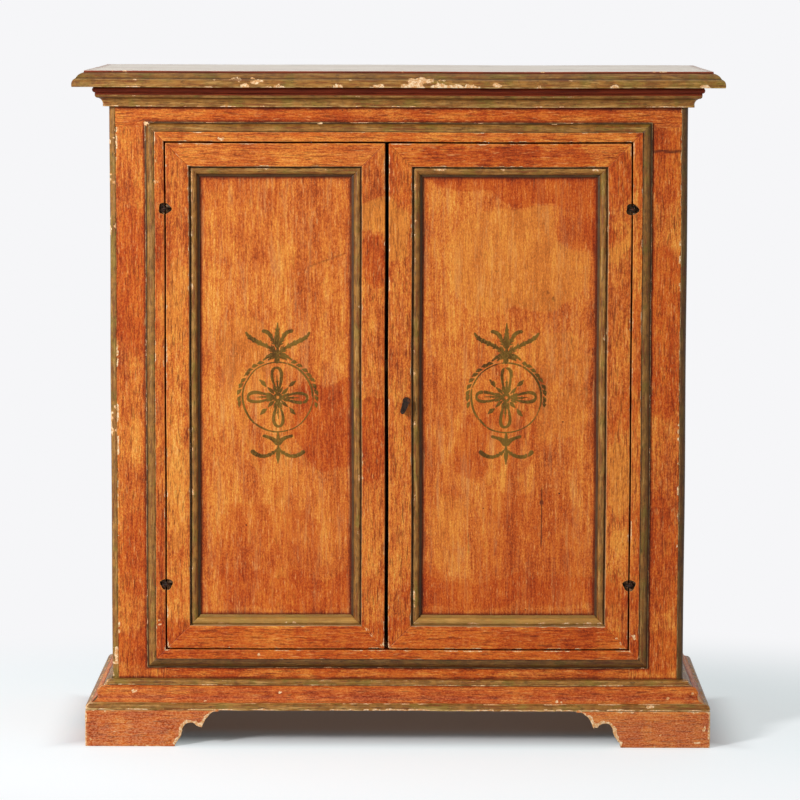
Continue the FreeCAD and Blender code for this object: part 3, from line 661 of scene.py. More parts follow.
def bare_wood():
    p = Paint("bare_wood_aged")
    grain, place = p.grain(), p.place()
    wave = p.math("FRACT", p.times(p.streaks(grain, 46, 1.6, 3.0, 0.5, 0.8), 9.0))
    fibre = p.streaks(grain, 700, 16)
    p.ground(wave, 0.15, 0.95, (184, 140, 94), (164, 118, 74))
    p.veil(fibre, 0.48, 0.72, 0.6, (112, 76, 46))
    p.veil(p.noise(place, 7, 5.0, 0.65), 0.48, 0.74, 0.4, (116, 82, 54))
    p.coat(p.times(p.value("wear"), 0.3), (196, 162, 120))
    # Dirt and painted shade in gaps and inward corners.
    p.coat(p.times(p.value("grime"), 0.85), (44, 30, 20))
    relief = p.bump(p.plus(fibre, p.times(wave, 0.4)), 0.35, 0.0006)
    return p.finish(p.soft(fibre, 0.3, 0.7, 0.62, 0.8), relief)


def top_paint():
    p = Paint("top_pale_worn")
    grain, place = p.grain(), p.place()
    fine = p.streaks(grain, 520, 26, 4.0, 0.62)
    patch = p.noise(p.scaled(place, (0.6, 1.5, 1.0)), 9, 6.0, 0.62, 0.5)
    worn = p.plus(p.value("grime"), p.swing(p.streaks(grain, 160, 40, 5.0), 1.8))
    p.ground(patch, 0.36, 0.66, (242, 230, 210), (228, 212, 192))
    p.veil(p.streaks(grain, 120, 7, 6.0, 0.66), 0.54, 0.74, 0.7, (196, 158, 138))
    p.veil(fine, 0.58, 0.74, 0.5, (168, 140, 120))
    p.veil(p.noise(place, 13, 5.0), 0.60, 0.72, 0.5, (150, 150, 128))
    p.veil(worn, 0.45, 0.85, 1.0, (150, 96, 68))
    p.chipped(grain, (206, 172, 140))
    relief = p.bump(p.plus(fine, p.noise(grain, 300, 4.0, 0.65)), 0.25, 0.0006)
    return p.finish(p.soft(fine, 0.3, 0.7, 0.30, 0.46), relief)


def iron():
    p = Paint("iron_forged")
    place = p.place()
    scale = p.noise(place, 380, 5.0, 0.65)
    rust = p.noise(place, 150)
    p.ground(scale, 0.35, 0.65, (26, 18, 14), (56, 42, 34))
    p.veil(rust, 0.50, 0.68, 0.7, (98, 54, 32))
    return p.finish(p.soft(rust, 0.35, 0.7, 0.34, 0.62), p.bump(scale, 0.4, 0.0004), 0.14)


IRON = iron()
MATERIALS = {
    "orange": orange_paint(), "green": green_paint(), "red": red_paint(),
    "bare": bare_wood(), "top": top_paint(), "iron": IRON,
}

# Turning shapes into pieces
SHARP = math.radians(42)
WELD = 0.000002


def placed(name, data):
    made = bpy.data.objects.new(name, data)
    bpy.context.scene.collection.objects.link(made)
    return made


def settle(mesh, welded):
    """Turns the faces of a mesh outward, after welding what coincides where that is wanted."""
    work = bmesh.new()
    work.from_mesh(mesh)
    if welded:
        bmesh.ops.remove_doubles(work, verts=work.verts, dist=WELD)
        bmesh.ops.dissolve_degenerate(work, edges=work.edges, dist=WELD)
    bmesh.ops.recalc_face_normals(work, faces=work.faces)
    work.to_mesh(mesh)
    work.free()


def dress(name, shape, body, nodes):
    """Makes the object of a shape, lets it ride on its body and stand for its nodes."""
    points = np.concatenate(shape.points)
    used = sorted(set(shape.paint), key=list(MATERIALS).index)
    mesh = bpy.data.meshes.new(name)
    mesh.from_pydata((points * MM).tolist(), [], shape.faces)
    for paint in used:
        mesh.materials.append(MATERIALS[paint])
    mesh.polygons.foreach_set("material_index", [used.index(c) for c in shape.paint])
    values = {key: np.concatenate(getattr(shape, key)) for key in ("wear", "chip", "grime")}
    values["stain"] = fade(points)
    values["framed"] = np.full(len(points), 0.0 if "panel" in name else 1.0)
    values.update(shape.extra)
    for key, array in values.items():
        mesh.attributes.new(key, "FLOAT", "POINT").data.foreach_set("value", np.asarray(array, np.float32))
    grain = (np.concatenate(shape.grain) * MM).astype(np.float32).ravel()
    mesh.attributes.new("grain", "FLOAT_VECTOR", "POINT").data.foreach_set("vector", grain)
    mesh.shade_smooth()
    for index in shape.flat:
        mesh.polygons[index].use_smooth = False
    settle(mesh, True)
    mesh.set_sharp_from_angle(angle=SHARP)
    piece = placed(name, mesh)
    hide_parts(*nodes)
    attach(piece, body)
    return piece


def solids(node):
    """Boxes of a node's separate solids, in millimetres."""
    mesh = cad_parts[node].data
    keys = [tuple(round(c * 10000) for c in v.co) for v in mesh.vertices]
    group = {k: k for k in keys}

    def root(k):
        while group[k] != k:
            k = group[k]
        return k

    for polygon in mesh.polygons:
        first = root(keys[polygon.vertices[0]])
        for index in polygon.vertices[1:]:
            group[root(keys[index])] = first
    members = {}
    for k in group:
        members.setdefault(root(k), []).append(k)
    boxes = [(np.min(m, 0) / 10, np.max(m, 0) / 10) for m in members.values()]
    return sorted(boxes, key=lambda b: tuple(b[0]))


# Hinge pockets
HINGE_X = OPENING_HALF - 1.2
EYE_HALF = 10.0
HINGE_HEIGHTS = (EYES_LOW[2] + EYE_HALF, EYES_HIGH[2] - EYE_HALF)
POCKET_HALF_X, POCKET_HALF_Z, POCKET_DEPTH = 10.0, 9.0, 8.2
POCKET_SIDES = 16


def cut_pockets(piece, sign):
    """Sinks worn round notches for the hinge eyes of a side into the front of a piece."""
    count = POCKET_SIDES
    turns = np.arange(count) * 2 * math.pi / count
    for z in HINGE_HEIGHTS:
        ragged = 1 + 0.10 * np.sin(3 * turns + z) + 0.05 * np.sin(5 * turns + 0.1 * z)
        across, up = POCKET_HALF_X * ragged * np.cos(turns), POCKET_HALF_Z * ragged * np.sin(turns)
        depths = (DOOR_FRONT_Y - 5, DOOR_FRONT_Y + POCKET_DEPTH)
        corners = [(sign * HINGE_X + u, y, z + v) for y in depths for u, v in zip(across, up)]
        sides = [(i, (i + 1) % count, count + (i + 1) % count, count + i) for i in range(count)]
        ends = [tuple(range(count))[::-1], tuple(range(count, 2 * count))]
        mesh = bpy.data.meshes.new("pocket")
        mesh.from_pydata((np.array(corners) * MM).tolist(), [], ends + sides)
        for material in piece.data.materials:
            mesh.materials.append(material)
        mesh.polygons.foreach_set("material_index", [len(mesh.materials) - 1] * (count + 2))
        settle(mesh, False)
        cutter = placed("pocket", mesh)
        cut = piece.modifiers.new("pocket", "BOOLEAN")
        cut.object = cutter
        cut.solver = "EXACT"
        shown = piece.evaluated_get(bpy.context.evaluated_depsgraph_get())
        done = bpy.data.meshes.new_from_object(shown)
        piece.modifiers.remove(cut)
        bpy.data.objects.remove(cutter)
        bpy.data.meshes.remove(mesh)
        piece.data = done
    piece.data.set_sharp_from_angle(angle=SHARP)


# Top board: one surface from the flat of the top over its moulded edge
# (inset, height, wear, dirt and painted shade in its creases, paint)
TOP_EDGE = (
    (19.6, 25.0, 0.05, 0.0, "top"), (18.5, 25.0, 0.6, 0.0, "top"), (18.1, 24.7, 0.5, 0.0, "top"),
    (18.0, 24.0, 0.5, 0.2, "red"), (18.0, 22.6, 0.1, 0.6, "red"), (17.6, 21.9, 0.0, 0.9, "red"),
    (16.4, 21.7, 0.2, 0.4, "red"), (15.0, 21.3, 0.4, 0.2, "green"), (12.6, 20.2, 0.1, 0.14, "green"),
    (10.2, 18.6, 0.05, 0.12, "green"), (8.2, 16.6, 0.05, 0.15, "green"), (6.9, 14.8, 0.1, 0.45, "green"),
    (6.3, 13.6, 0.0, 0.85, "green"), (5.2, 12.9, 0.1, 0.5, "green"), (3.6, 12.0, 0.55, 0.1, "green"),
    (1.9, 10.4, 0.3, 0.0, "green"), (0.7, 8.2, 0.2, 0.0, "green"), (0.1, 5.8, 0.2, 0.0, "green"),
    (0.0, 4.0, 0.35, 0.0, "green"), (0.05, 2.0, 0.35, 0.0, "green"), (0.3, 0.7, 0.9, 0.0, "green"),
    (0.9, 0.1, 1.0, 0.0, "green"), (2.4, 0.0, 0.3, 0.3, "bare"),
)
# Large chips of its front edge: x, half width, height, amount
TOP_SCARS = (
    (-232, 7, 2, 0.9), (-222, 12, 9, 0.8), (-178, 9, 1, 0.7), (18, 16, 1, 1.0), (82, 34, 1, 1.0),
    (150, 8, 5, 0.7), (40, 30, 11, 0.6), (-96, 9, 1, 0.7), (-250, 14, 13, 0.5), (330, 6, 1, 0.8),
    (468, 5, 1, 0.9), (-30, 10, 1, 0.7),
)
TOP_JOINTS = (-62.0, 88.0)
TOP_PITCH_X, TOP_PITCH_Y = 2.5, 4


def make_top():
    shape = Shape()
    offset = next_offset()
    width, depth = TOP_HIGH[0] - TOP_LOW[0], TOP_HIGH[1] - TOP_LOW[1]
    columns, rows = int(width / TOP_PITCH_X) + 1, int(depth / TOP_PITCH_Y) + 1
    across, back = np.linspace(-1, 1, columns), np.linspace(0, 1, rows)

    def laid(i, j, inset, height):
        x = across[i] * (width / 2 - inset)
        y = TOP_HIGH[1] - (depth - inset) * (1 - back[j])
        return np.stack([x, y, np.full(x.shape, TOP_LOW[2] + height)], -1)

    i, j = np.meshgrid(np.arange(columns), np.arange(rows), indexing="ij")
    flat_inset, flat_height = TOP_EDGE[0][:2]
    flat = laid(i, j, flat_inset, flat_height)
    joint = sum(bell(flat[..., 1] - y, 1.2) for y in TOP_JOINTS)
    flat[..., 2] += 0.5 * sway(flat, 160, 21) * step(1.0, 0.9, np.abs(across[i])) - 0.7 * joint
    rim = np.minimum(flat[..., 1] - TOP_LOW[1], TOP_HIGH[0] - np.abs(flat[..., 0])) - flat_inset
    first = shape.add(flat + warp(flat), 0, offset, grime=0.75 * step(26, 0, rim) + 0.8 * joint)
    shape.net(first, columns, rows, "top")
    i, j = border(columns, rows)
    ring = (first + i * rows + j).tolist()
    sink = np.stack([-np.sign(across[i]) * (np.abs(across[i]) > 0.999), 1.0 * (j == 0), 0.0 * i], -1)
    at_back = (j == rows - 1) & (np.roll(j, -1) == rows - 1)
    for inset, height, wear, grime, paint in TOP_EDGE[1:]:
        edge = laid(i, j, inset, height)
        moulded = step(0.5, 6.0, TOP_HIGH[1] - edge[:, 1])
        chip = np.clip(wear * (1.2 * patches(edge, *TOP_CHIPS) + 0.3 * risen(edge, 12, 33, 0.4, 0.9)), 0, 1)
        ragged = 1.2 * (noise(edge, 9, 35) + 0.6 * noise(edge, 3.5, 34) - 0.8)
        for x, half, level, amount in TOP_SCARS:
            near = 1.5 - np.hypot((edge[:, 0] - x) / (1.15 * half), (height - level) / 5.0) + ragged
            chip = np.maximum(chip, np.clip(near, 0, 1) * amount * (edge[:, 1] < TOP_LOW[1] + 30))
        edge = edge + sink * (0.9 * chip * moulded)[:, None]
        start = shape.add(edge + warp(edge), 0, offset, wear, chip * moulded, grime)
        lower = range(start, shape.count)
        shape.stitch(ring, lower, ["bare" if hidden else paint for hidden in at_back], True)
        ring = lower
    shape.face(ring, "bare")
    dress("painted_top", shape, "case", ["top_board"])


# Mouldings that run round the front and the sides of the case
CORNICE = [
    (0, 1025, "bare"), (0, 994, "bare"), (9, 994, "green"), (9, 995.5, "green"), (15.5, 1007.5, "green", 0.2),
    (16.5, 1007.5, "green"), (20, 1012.5, "green", -0.2), (20, 1015.5, "red"), (19.25, 1015.5, "red"),
    (19.25, 1025, "red", -0.5),
]
# Painted shade lines at the crease between cove and ovolo and under the top's overhang; painted highlights,
# as rubbed paint, along the ovolo and the cove.
CORNICE_LOOK = {
    "wear": 0.8, "worn": 0.5, "painted_shade": ((16, 1007.5, 2.0, 1.0), (21, 1024.6, 2.4, 0.9)),
    "bright": ((20, 1014.6, 1.6, 0.3), (9.4, 995, 1.4, 0.7), (19, 1010.8, 2.4, 0.45), (11.5, 1000, 3.4, 0.4)),
}
BASE = [
    (0, 57, "bare"), (40, 57, "bare"), (40, 58.5, "green"), (33.5, 68, "green", -0.2), (31.5, 68, "green"),
    (22.25, 80, "orange", 0.2), (15, 92, "orange", -0.2), (13, 92, "orange"), (13, 93.5, "green"),
    (8.5, 99.5, "green", 0.2), (0, 101, "green"),
]
# Painted shade lines at the middle of the ogee and under the cap; the brightening spots add wear to the lower
# edges and spare the top of the cap.
BASE_LOOK = {
    "wear": 1.3, "worn": 0.8, "painted_shade": ((25, 76, 2.6, 0.9), (13.2, 92, 1.4, 0.9)),
    "bright": ((8.5, 99.5, 2.2, -0.55), (40, 58.2, 2.0, 1.0), (33.8, 67.6, 1.8, 0.8)),
}
CORNICE_FOOT, BASE_TOP = CORNICE[1][1], BASE[-1][1]


def make_round_case(name, points, look):
    level, back = ((-CASE_HALF, -1), (CASE_HALF, 1)), ((FACE_Y, -1), (BACK_Y, 0))
    for side, place, ends, corner in (
        ("front", lambda o, z, s: np.stack([s, FACE_Y - o, z], -1), level, (1, 1)),
        ("left", lambda o, z, s: np.stack([-CASE_HALF - o, s, z], -1), back, (1, 0)),
        ("right", lambda o, z, s: np.stack([CASE_HALF + o, s, z], -1), back, (1, 0)),
    ):
        shape = Shape()
        swept(shape, points, place, ends, pitch=2.5, radius=0.8, corner=corner, **look)
        dress(f"{name}_{side}_moulding", shape, "case", [f"{name}_{side}"])


# Face frame, corner beads and the carcase
UPRIGHT_PAINTS = ("orange", "orange", "orange", "bare")
LEVEL_PAINTS = ("orange", "bare", "orange", "orange")
STILE_LOOK = {"radius": 0.5, "wear": 0.8, "soft": 0.2, "spacing": 3.0, "pitch": 2.5}
FRIEZE_LOOK = {"radius": 0.2, "wear": 0.2, "soft": 0.1, "spacing": 3.0}
RAIL_LOOK = {"radius": 0.3, "wear": 0.5, "soft": 0.1, "spacing": 3.0}
BOARD_LOOK = {"radius": 1.1, "wear": 0.7, "spacing": 18, "pitch": 16}
BOARD_AXES = {
    "bottom_board": 0, "shelf": 0, "shelf_cleats": 1, "top_cleats": 0, "foot_blocks": 2, "back_boards": 2,
}
HALF_GAP = 0.1
NAIL_SIDES = 12
NAIL_RINGS = ((4.2, -0.4), (4.0, 0.5), (2.4, 0.9))


def aged(shape):
    """Dirt and painted shade beside the mouldings of the face frame, below the cornice and above the base,
    and chips along its outer arris.
    """
    for i, points in enumerate(shape.points):
        x, y, z = points.T
        beside = step(5.0, 0.0, beyond(x, z, SURROUNDED))
        under = step(CORNICE_FOOT - 8, CORNICE_FOOT - 1, z)
        over = step(BASE_TOP + 5, BASE_TOP + 0.5, z)
        dirt_and_shadow = np.maximum(beside, np.maximum(under, over)) * (0.55 + 0.6 * noise(points, 24, 63))
        shape.lift("grime", i, np.clip(dirt_and_shadow * (y < FACE_Y + 1), 0, 1))
        outer = (np.abs(x) > STILE_OUTER - 1.5) * (y < FACE_Y + 1.5)
        shape.lift("chip", i, 0.95 * patches(points, *ARRIS_CHIPS) * outer)


def upright(points, sign, **options):
    """A piece that stands at one side of the case, from a section given for the right side."""
    shape = Shape()
    ends = ((CASE_LOW, 0), (CASE_TOP, 0))
    swept(shape, points, lambda a, b, s: np.stack([sign * a, b, s], -1), ends, **options)
    return shape


def make_stile(side, sign, frieze):
    low, high = sorted((sign * OPENING_HALF, sign * STILE_OUTER))
    stile = Shape()
    foot, knee, head = (low, FACE_Y, CASE_LOW), (high, FACE_BACK_Y, FRIEZE_LOW), (high, FACE_BACK_Y, CASE_TOP)
    boarded(stile, foot, knee, 2, UPRIGHT_PAINTS, **STILE_LOOK)
    boarded(stile, (low, FACE_Y, FRIEZE_LOW), head, 0, LEVEL_PAINTS, offset=frieze, **FRIEZE_LOOK)
    aged(stile)
    if side == "right":
        places = np.concatenate(stile.points)
        split = np.abs(places[:, 2] - STILE_CHECK - 3 * sway(places, 14, 64))
        stile.extra["crack"] = 0.9 * step(2.2, 0.8, split) * (places[:, 1] < FACE_Y + 1)
    dress(f"face_stile_{side}_painted", stile, "case", [f"face_stile_{side}"])


def make_corner_bead(side, sign):
    bead = upright([
        (STILE_OUTER, FACE_BACK_Y, "bare"), (STILE_OUTER, FACE_Y, "green"),
        (STILE_OUTER + 1.5, FACE_Y, "green"), (CASE_HALF, FACE_Y + 8.5, "green", -0.207),
        (CASE_HALF, FACE_BACK_Y, "green"),
    ], sign, wear=0.8, radius=0.7)
    if side == "left":
        bead.lift("chip", 0, 0.85 * patches(bead.points[0], *BEAD_CHIPS))
    else:
        # Painted shade on the right bead, which faces away from the light.
        bead.lift("grime", 0, 0.74)
    dress(f"corner_bead_{side}_painted", bead, "case", [f"corner_bead_{side}"])


def make_side(side, sign):
    inner = node_box("side_right")[0][0]
    back_low, back_high = node_box("back_boards")
    board = upright([
        (inner, FACE_BACK_Y, "bare"), (CASE_HALF, FACE_BACK_Y, "bare"), (CASE_HALF, BACK_Y, "orange"),
        (back_high[0], BACK_Y, "bare"), (back_high[0], back_low[1], "bare"), (inner, back_low[1], "bare"),
    ], sign, pitch=6, radius=0.8, wear=0.6)
    dress(f"side_board_{side}", board, "case", [f"side_{side}"])


def make_rail(side, low, high, offset):
    rail = Shape()
    start, stop = (-OPENING_HALF, FACE_Y, low), (OPENING_HALF, FACE_BACK_Y, high)
    boarded(rail, start, stop, 0, LEVEL_PAINTS, offset=offset, **RAIL_LOOK)
    aged(rail)
    dress(f"face_rail_{side}_painted", rail, "case", [f"face_rail_{side}"])


def nailed(shape, x, y, z):
    """A slightly domed nail head on a board that faces back."""
    turns = np.linspace(0, 2 * math.pi, NAIL_SIDES + 1)[:-1] + OFFSETS.uniform(0, 1)
    x, z = x + OFFSETS.uniform(-6, 6), z + OFFSETS.uniform(-5, 5)
    rings = []
    for radius, rise in NAIL_RINGS:
        level = np.full(NAIL_SIDES, y + rise)
        rim = np.stack([x + radius * np.cos(turns), level, z + radius * np.sin(turns)], -1)
        start = shape.add(rim + warp(rim), 1, (0, 0, 0))
        rings.append(range(start, shape.count))
    for low, high in zip(rings[:-1], rings[1:]):
        shape.stitch(low, high, ["iron"] * NAIL_SIDES)
    for ring in (rings[0], rings[-1]):
        shape.face(ring, "iron")


def make_boards(node, axis):
    shape = Shape()
    boxes = solids(node)
    at_back = node == "back_boards"
    if at_back:
        for (_, before), (after, _) in zip(boxes[:-1], boxes[1:]):
            before[0], after[0] = (before[0] + after[0]) / 2 + np.array((-HALF_GAP, HALF_GAP))
    for low, high in boxes:
        boarded(shape, low, high, axis, ("bare",) * 4, **BOARD_LOOK)
        if at_back:
            across = shape.points[-1][:, 0]
            shape.lift("grime", -1, step(3.0, 0.4, np.minimum(across - low[0], high[0] - across)))
            for x in (low[0] + 22, (low[0] + high[0]) / 2, high[0] - 22):
                for z in (low[2] + 26, (low[2] + high[2]) / 2, high[2] - 16):
                    nailed(shape, x, high[1], z)
    dress(f"{node}_aged", shape, "case", [node])


def make_case():
    frieze = next_offset()
    for side, sign in SIDES:
        make_stile(side, sign, frieze)
        make_corner_bead(side, sign)
        make_side(side, sign)
    make_rail("top", OPENING_HIGH, CASE_TOP, frieze)
    make_rail("bottom", CASE_LOW, OPENING_LOW, None)
    for node, axis in BOARD_AXES.items():
        make_boards(node, axis)


# Applied frame round the doors
SURROUND = [
    (0, 10, "orange"), (0, 0, "orange"), (15, 0, "orange"), (15, 2, "green"), (27.5, 7, "green", -0.2),
    (30, 7, "green"), (30, 10, "green"),
]
# Painted shade line along the outer step and a painted highlight, as rubbed paint, along the crest.
SURROUND_LOOK = {
    "wear": 1.15, "corner": (0.3, 0.3), "joint": 0.8, "soft": 0.3, "pitch": 2.5, "spacing": 3, "radius": 0.8,
    "seat": SURROUND[-1][1], "painted_shade": ((28.6, 7, 2.4, 1.0),), "bright": ((18.5, 2.2, 2.4, 0.26),),
}


def make_surround():
    made = frame_runs(OPENING, SURROUND, 1, **SURROUND_LOOK)
    flat = SURROUND[2][0] - 0.5
    low, right = made["bottom"], made["right"]
    # Painted shade on the bottom run, which faces down, and a little on the right run, which faces away from
    # the light.
    low.lift("grime", 0, 0.66 * (low.points[0][:, 2] < OPENING_LOW - flat))
    right.lift("grime", 0, 0.28 * (right.points[0][:, 0] > OPENING_HALF + flat))
    for side, shape in made.items():
        piece = dress(f"surround_{side}_moulding", shape, "case", [f"surround_{side}"])
        if side in dict(SIDES):
            cut_pockets(piece, dict(SIDES)[side])


# Doors
DOOR_MEMBER = [(0, 0, "orange"), (36, 0, "orange"), (36, 29, "bare"), (0, 29, "bare")]
DOOR_MEMBER_LOOK = {
    "wear": 1.1, "corner": (0.4, 0.4), "joint": 0.95, "soft": 0.3, "pitch": 2.5, "spacing": 3, "radius": 0.9,
}
DOOR_BEAD = [
    (0, 14, "green"), (0, 7, "green"), (2.5, 7, "green"), (2.5, 5.5, "green"),
    (12.3, 10.6, "green", -0.34), (16, 11.5, "green"), (16, 14, "green"),
]
# Painted shade lines in the quirk and along the inner edge by the panel, a painted highlight, as rubbed
# paint, along the crest, and less wear on the inner edge.
DOOR_BEAD_LOOK = {
    "wear": 0.9, "pitch": 3.5, "radius": 0.6, "seat": DOOR_BEAD[-1][1],
    "painted_shade": ((14.6, 11.2, 2.6, 1.0), (1.2, 7, 1.8, 1.0)),
    "bright": ((5.0, 4.8, 2.2, 0.5), (16, 11.5, 1.6, -0.75)),
}


def make_door(side, sign):
    body = f"{side}_door"
    nodes = {place: f"{side}_{place}_rail" for place in ("top", "bottom")}
    for place, _ in SIDES:
        nodes[place] = f"{side}_hinge_stile" if place == side else f"{side}_meeting_stile"
    low, high = node_box(nodes["left"])[0], node_box(nodes["right"])[1]
    members = frame_runs((low[0], high[0], low[2], high[2]), DOOR_MEMBER, -1, **DOOR_MEMBER_LOOK)
    for place, shape in members.items():
        piece = dress(f"{nodes[place]}_painted", shape, body, [nodes[place]])
        if place == side:
            cut_pockets(piece, sign)
    width = DOOR_MEMBER[1][0]
    inner = (low[0] + width, high[0] - width, low[2] + width, high[2] - width)
    beads = frame_runs(inner, DOOR_BEAD, -1, **DOOR_BEAD_LOOK)
    bottom = beads["bottom"]
    # Painted light on the bottom bead, which faces up: paler paint and less painted shade.
    bottom.extra["pale"] = np.ones(bottom.count)
    bottom.grime[0] = 0.4 * bottom.grime[0]
    for place, shape in beads.items():
        dress(f"{side}_bead_{place}_painted", shape, body, [f"{side}_bead_{place}"])
    make_panel(side, inner)


# Painted ornament: a rosette in a ring with a leaf crown and a pendant, measured from the ring's centre.
# A stroke has points and widths along it, and a leaf also the reach, number and width of its barbs.
RING = 54.5
CENTRE_RING = 4.8
RING_LEAF = (((0, 0), (4.6, -1.6), (9.6, 0.8)), (2.4, 6.4, 1.8), 7)
PETAL = ((0, 5), (-4, 16), (-14, 40), (-4.5, 47), (0, 46))
PETAL_LEAF = (((0, 6), (0.6, 18), (0, 34)), (2.0, 3.4, 1.4), (5.0, 3, 2.0))
CORNER_STROKES = (
    (((0, 8), (1.2, 14), (0, 22)), (2.0, 6.4, 2.0)),
    (((-0.6, 25), (1.0, 31), (0.4, 38)), (2.4, 7.4, 2.4)),
)
BUD = (((0, 7), (0.6, 12), (0, 18)), (1.6, 4.6, 1.6))
PAIRED_STROKES = (
    (((-2, 68), (-10, 68), (-22, 58)), (4, 6, 3), (5.0, 3, 3.0)),
    (((-2, 70), (-8, 75), (-26, 86), (-44, 88), (-49, 100)), (3.0, 5.0, 6.6, 6.4, 4.0), (8.4, 6, 2.6)),
    (((-2, 80), (-9, 88), (-9, 102), (-22, 103)), (2, 5.0, 6.6, 6.0), (7.0, 4, 2.5)),
    (((-2, 62), (-8, 64), (-14, 58)), (4, 6, 3)),
    (((-2, -71), (-8, -64), (-14, -63), (-21, -61)), (9, 7.0, 5.4, 5.4)),
    (((-3, -83), (-12, -93), (-28, -97), (-39, -86)), (4.0, 5.4, 6.4, 7.4), (5.6, 4, 2.6)),
)
MIDDLE_STROKES = (
    (((-1, 57), (-1, 63), (0, 74)), (9, 8, 5)),
    (((0, 72), (-0.5, 94), (0, 116)), (3.2, 8.4, 1.8), (8.0, 5, 2.5)),
    (((0, -56), (0, -66), (0, -76)), (3, 7, 3)),
    (((0, -76), (0.4, -90), (0, -104)), (3.4, 7.5, 1.6), (4.6, 3, 2.6)),
)


def curve(points, widths, count=14):
    """A brush stroke: a smooth line through control points with a width along it."""
    points = np.array(points, float)
    t = np.linspace(0, 1, count)
    degree = len(points) - 1
    weights = [math.comb(degree, i) * ((1 - t) ** (degree - i) * t ** i) for i in range(degree + 1)]
    line = sum(weight[:, None] * point for weight, point in zip(weights, points))
    return line, np.interp(t, np.linspace(0, 1, len(widths)), widths)


def turned(stroke, angle, centre=(0.0, 0.0)):
    c, s = math.cos(angle), math.sin(angle)
    return stroke[0] @ np.array(((c, s), (-s, c))) + np.array(centre), stroke[1]


def flipped(stroke):
    return stroke[0] * np.array((-1.0, 1.0)), stroke[1]


def drawn(points, widths, barbs=(0.0, 0, 0.0)):
    """A stroke, or a leaf: a stroke with barbs on both sides that lean towards its tip."""
    reach, count, width = barbs
    made = [curve(points, widths)]
    line = made[0][0]
    for i in range(count):
        k = 1 + int(i * (len(line) - 3) / count)
        way = (line[k + 1] - line[k]) / np.hypot(*(line[k + 1] - line[k]))
        for side in (1, -1):
            out = np.array((-way[1], way[0])) * side
            tip = line[k] + (0.8 * way + 0.6 * out) * reach * (1 - 0.35 * i / count)
            bend = (line[k] + tip) / 2 + 0.12 * reach * out
            made.append(curve([line[k], bend, tip], (0.6 * width, width, 0.5 * width), 6))
    return made


def ornament(rng):
    angles = np.linspace(0, 2 * math.pi, 73)
    circle = np.stack([np.cos(angles), np.sin(angles)], -1)
    strokes = [(RING * circle, 3.0 + 0.8 * np.sin(angles * 2 + 0.6))]
    strokes.append((CENTRE_RING * circle, np.full(len(circle), 5.2)))
    petal = [curve(PETAL, (2.4, 4.4, 5.8, 4.0)), flipped(curve(PETAL, (2.4, 5.2, 5.8, 4.0)))]
    for quarter in range(4):
        turn = quarter * math.pi / 2 + rng.uniform(-0.06, 0.06)
        corner = turn + math.pi / 4
        strokes += [turned(stroke, turn) for stroke in petal + drawn(*PETAL_LEAF)]
        strokes += [turned(curve(*row), corner) for row in CORNER_STROKES]
        strokes += [turned(curve(*BUD), corner + lean) for lean in (-0.4, 0.4)]
    for k in range(9):
        for sign in (1, -1):
            angle = math.radians(112 + 9.4 * k + rng.uniform(-1.5, 1.5))
            lean = math.radians(68 + rng.uniform(-8, 8))
            start = np.array((math.cos(angle), math.sin(angle))) * (RING + 3.4)
            leaf = turned(curve(*RING_LEAF), angle + lean, start)
            strokes.append(leaf if sign > 0 else flipped(leaf))
    for row in PAIRED_STROKES:
        for stroke in drawn(*row):
            strokes += [stroke, flipped(stroke)]
    for row in MIDDLE_STROKES:
        strokes += drawn(*row)
    return strokes


def painted(x, z, strokes):
    """How much of the ornament's paint covers each point."""
    cover = np.zeros(x.shape)
    for line, widths in strokes:
        reach = widths.max() / 2 + 1.5
        low, high = line.min(0) - reach, line.max(0) + reach
        near = (x > low[0]) & (x < high[0]) & (z > low[1]) & (z < high[1])
        if not near.any():
            continue
        places = np.stack([x[near], z[near]], -1)
        best = np.full(len(places), 9.0)
        for a, b, wa, wb in zip(line[:-1], line[1:], widths[:-1], widths[1:]):
            t, away = along_line(places, a, b)
            best = np.minimum(best, away - 0.5 * (wa + (wb - wa) * t))
        cover[near] = np.maximum(cover[near], step(0.5, -1.5, best))
    return cover


# Door panels: the crack is (x, low, high), marks are scratches (x and z of both ends, reach, amount)
MOTIF_HALF = 69.0
MOTIF_LOW, MOTIF_HIGH = -112.0, 120.0
MOTIF_Z = 544.0
MOTIF_SHIFT = {"left": 2.8, "right": -4.0}
MOTIF_RISE = 0.2
FINE_PITCH, COARSE_PITCH = 0.85, 2.4
CRACK = (224.0, 316.0, 400.0)
MARKS = {
    "left": (
        (-139, 747, -82, 768, 1.6, 0.45), (-132, 560, -128, 556, 2.0, 0.5), (-196, 640, -195, 610, 1.4, 0.35),
    ),
    "right": (
        (240, 700, 241, 696, 2.4, 0.8), (231, 709, 232, 707, 2.0, 0.6), (150, 742, 154, 741, 2.0, 0.4),
        (196, 500, 200, 470, 1.5, 0.35), (268, 640, 272, 620, 1.4, 0.35), (110, 330, 111, 300, 1.5, 0.35),
    ),
}


def lines(low, high, dense_low, dense_high):
    """Places from low to high, close together where the ornament is."""
    inner = np.linspace(dense_low, dense_high, int((dense_high - dense_low) / FINE_PITCH) + 1)
    before = np.linspace(low, dense_low, max(3, int((dense_low - low) / COARSE_PITCH) + 1))[:-1]
    after = np.linspace(dense_high, high, max(3, int((high - dense_high) / COARSE_PITCH) + 1))[1:]
    return np.concatenate([before, inner, after])


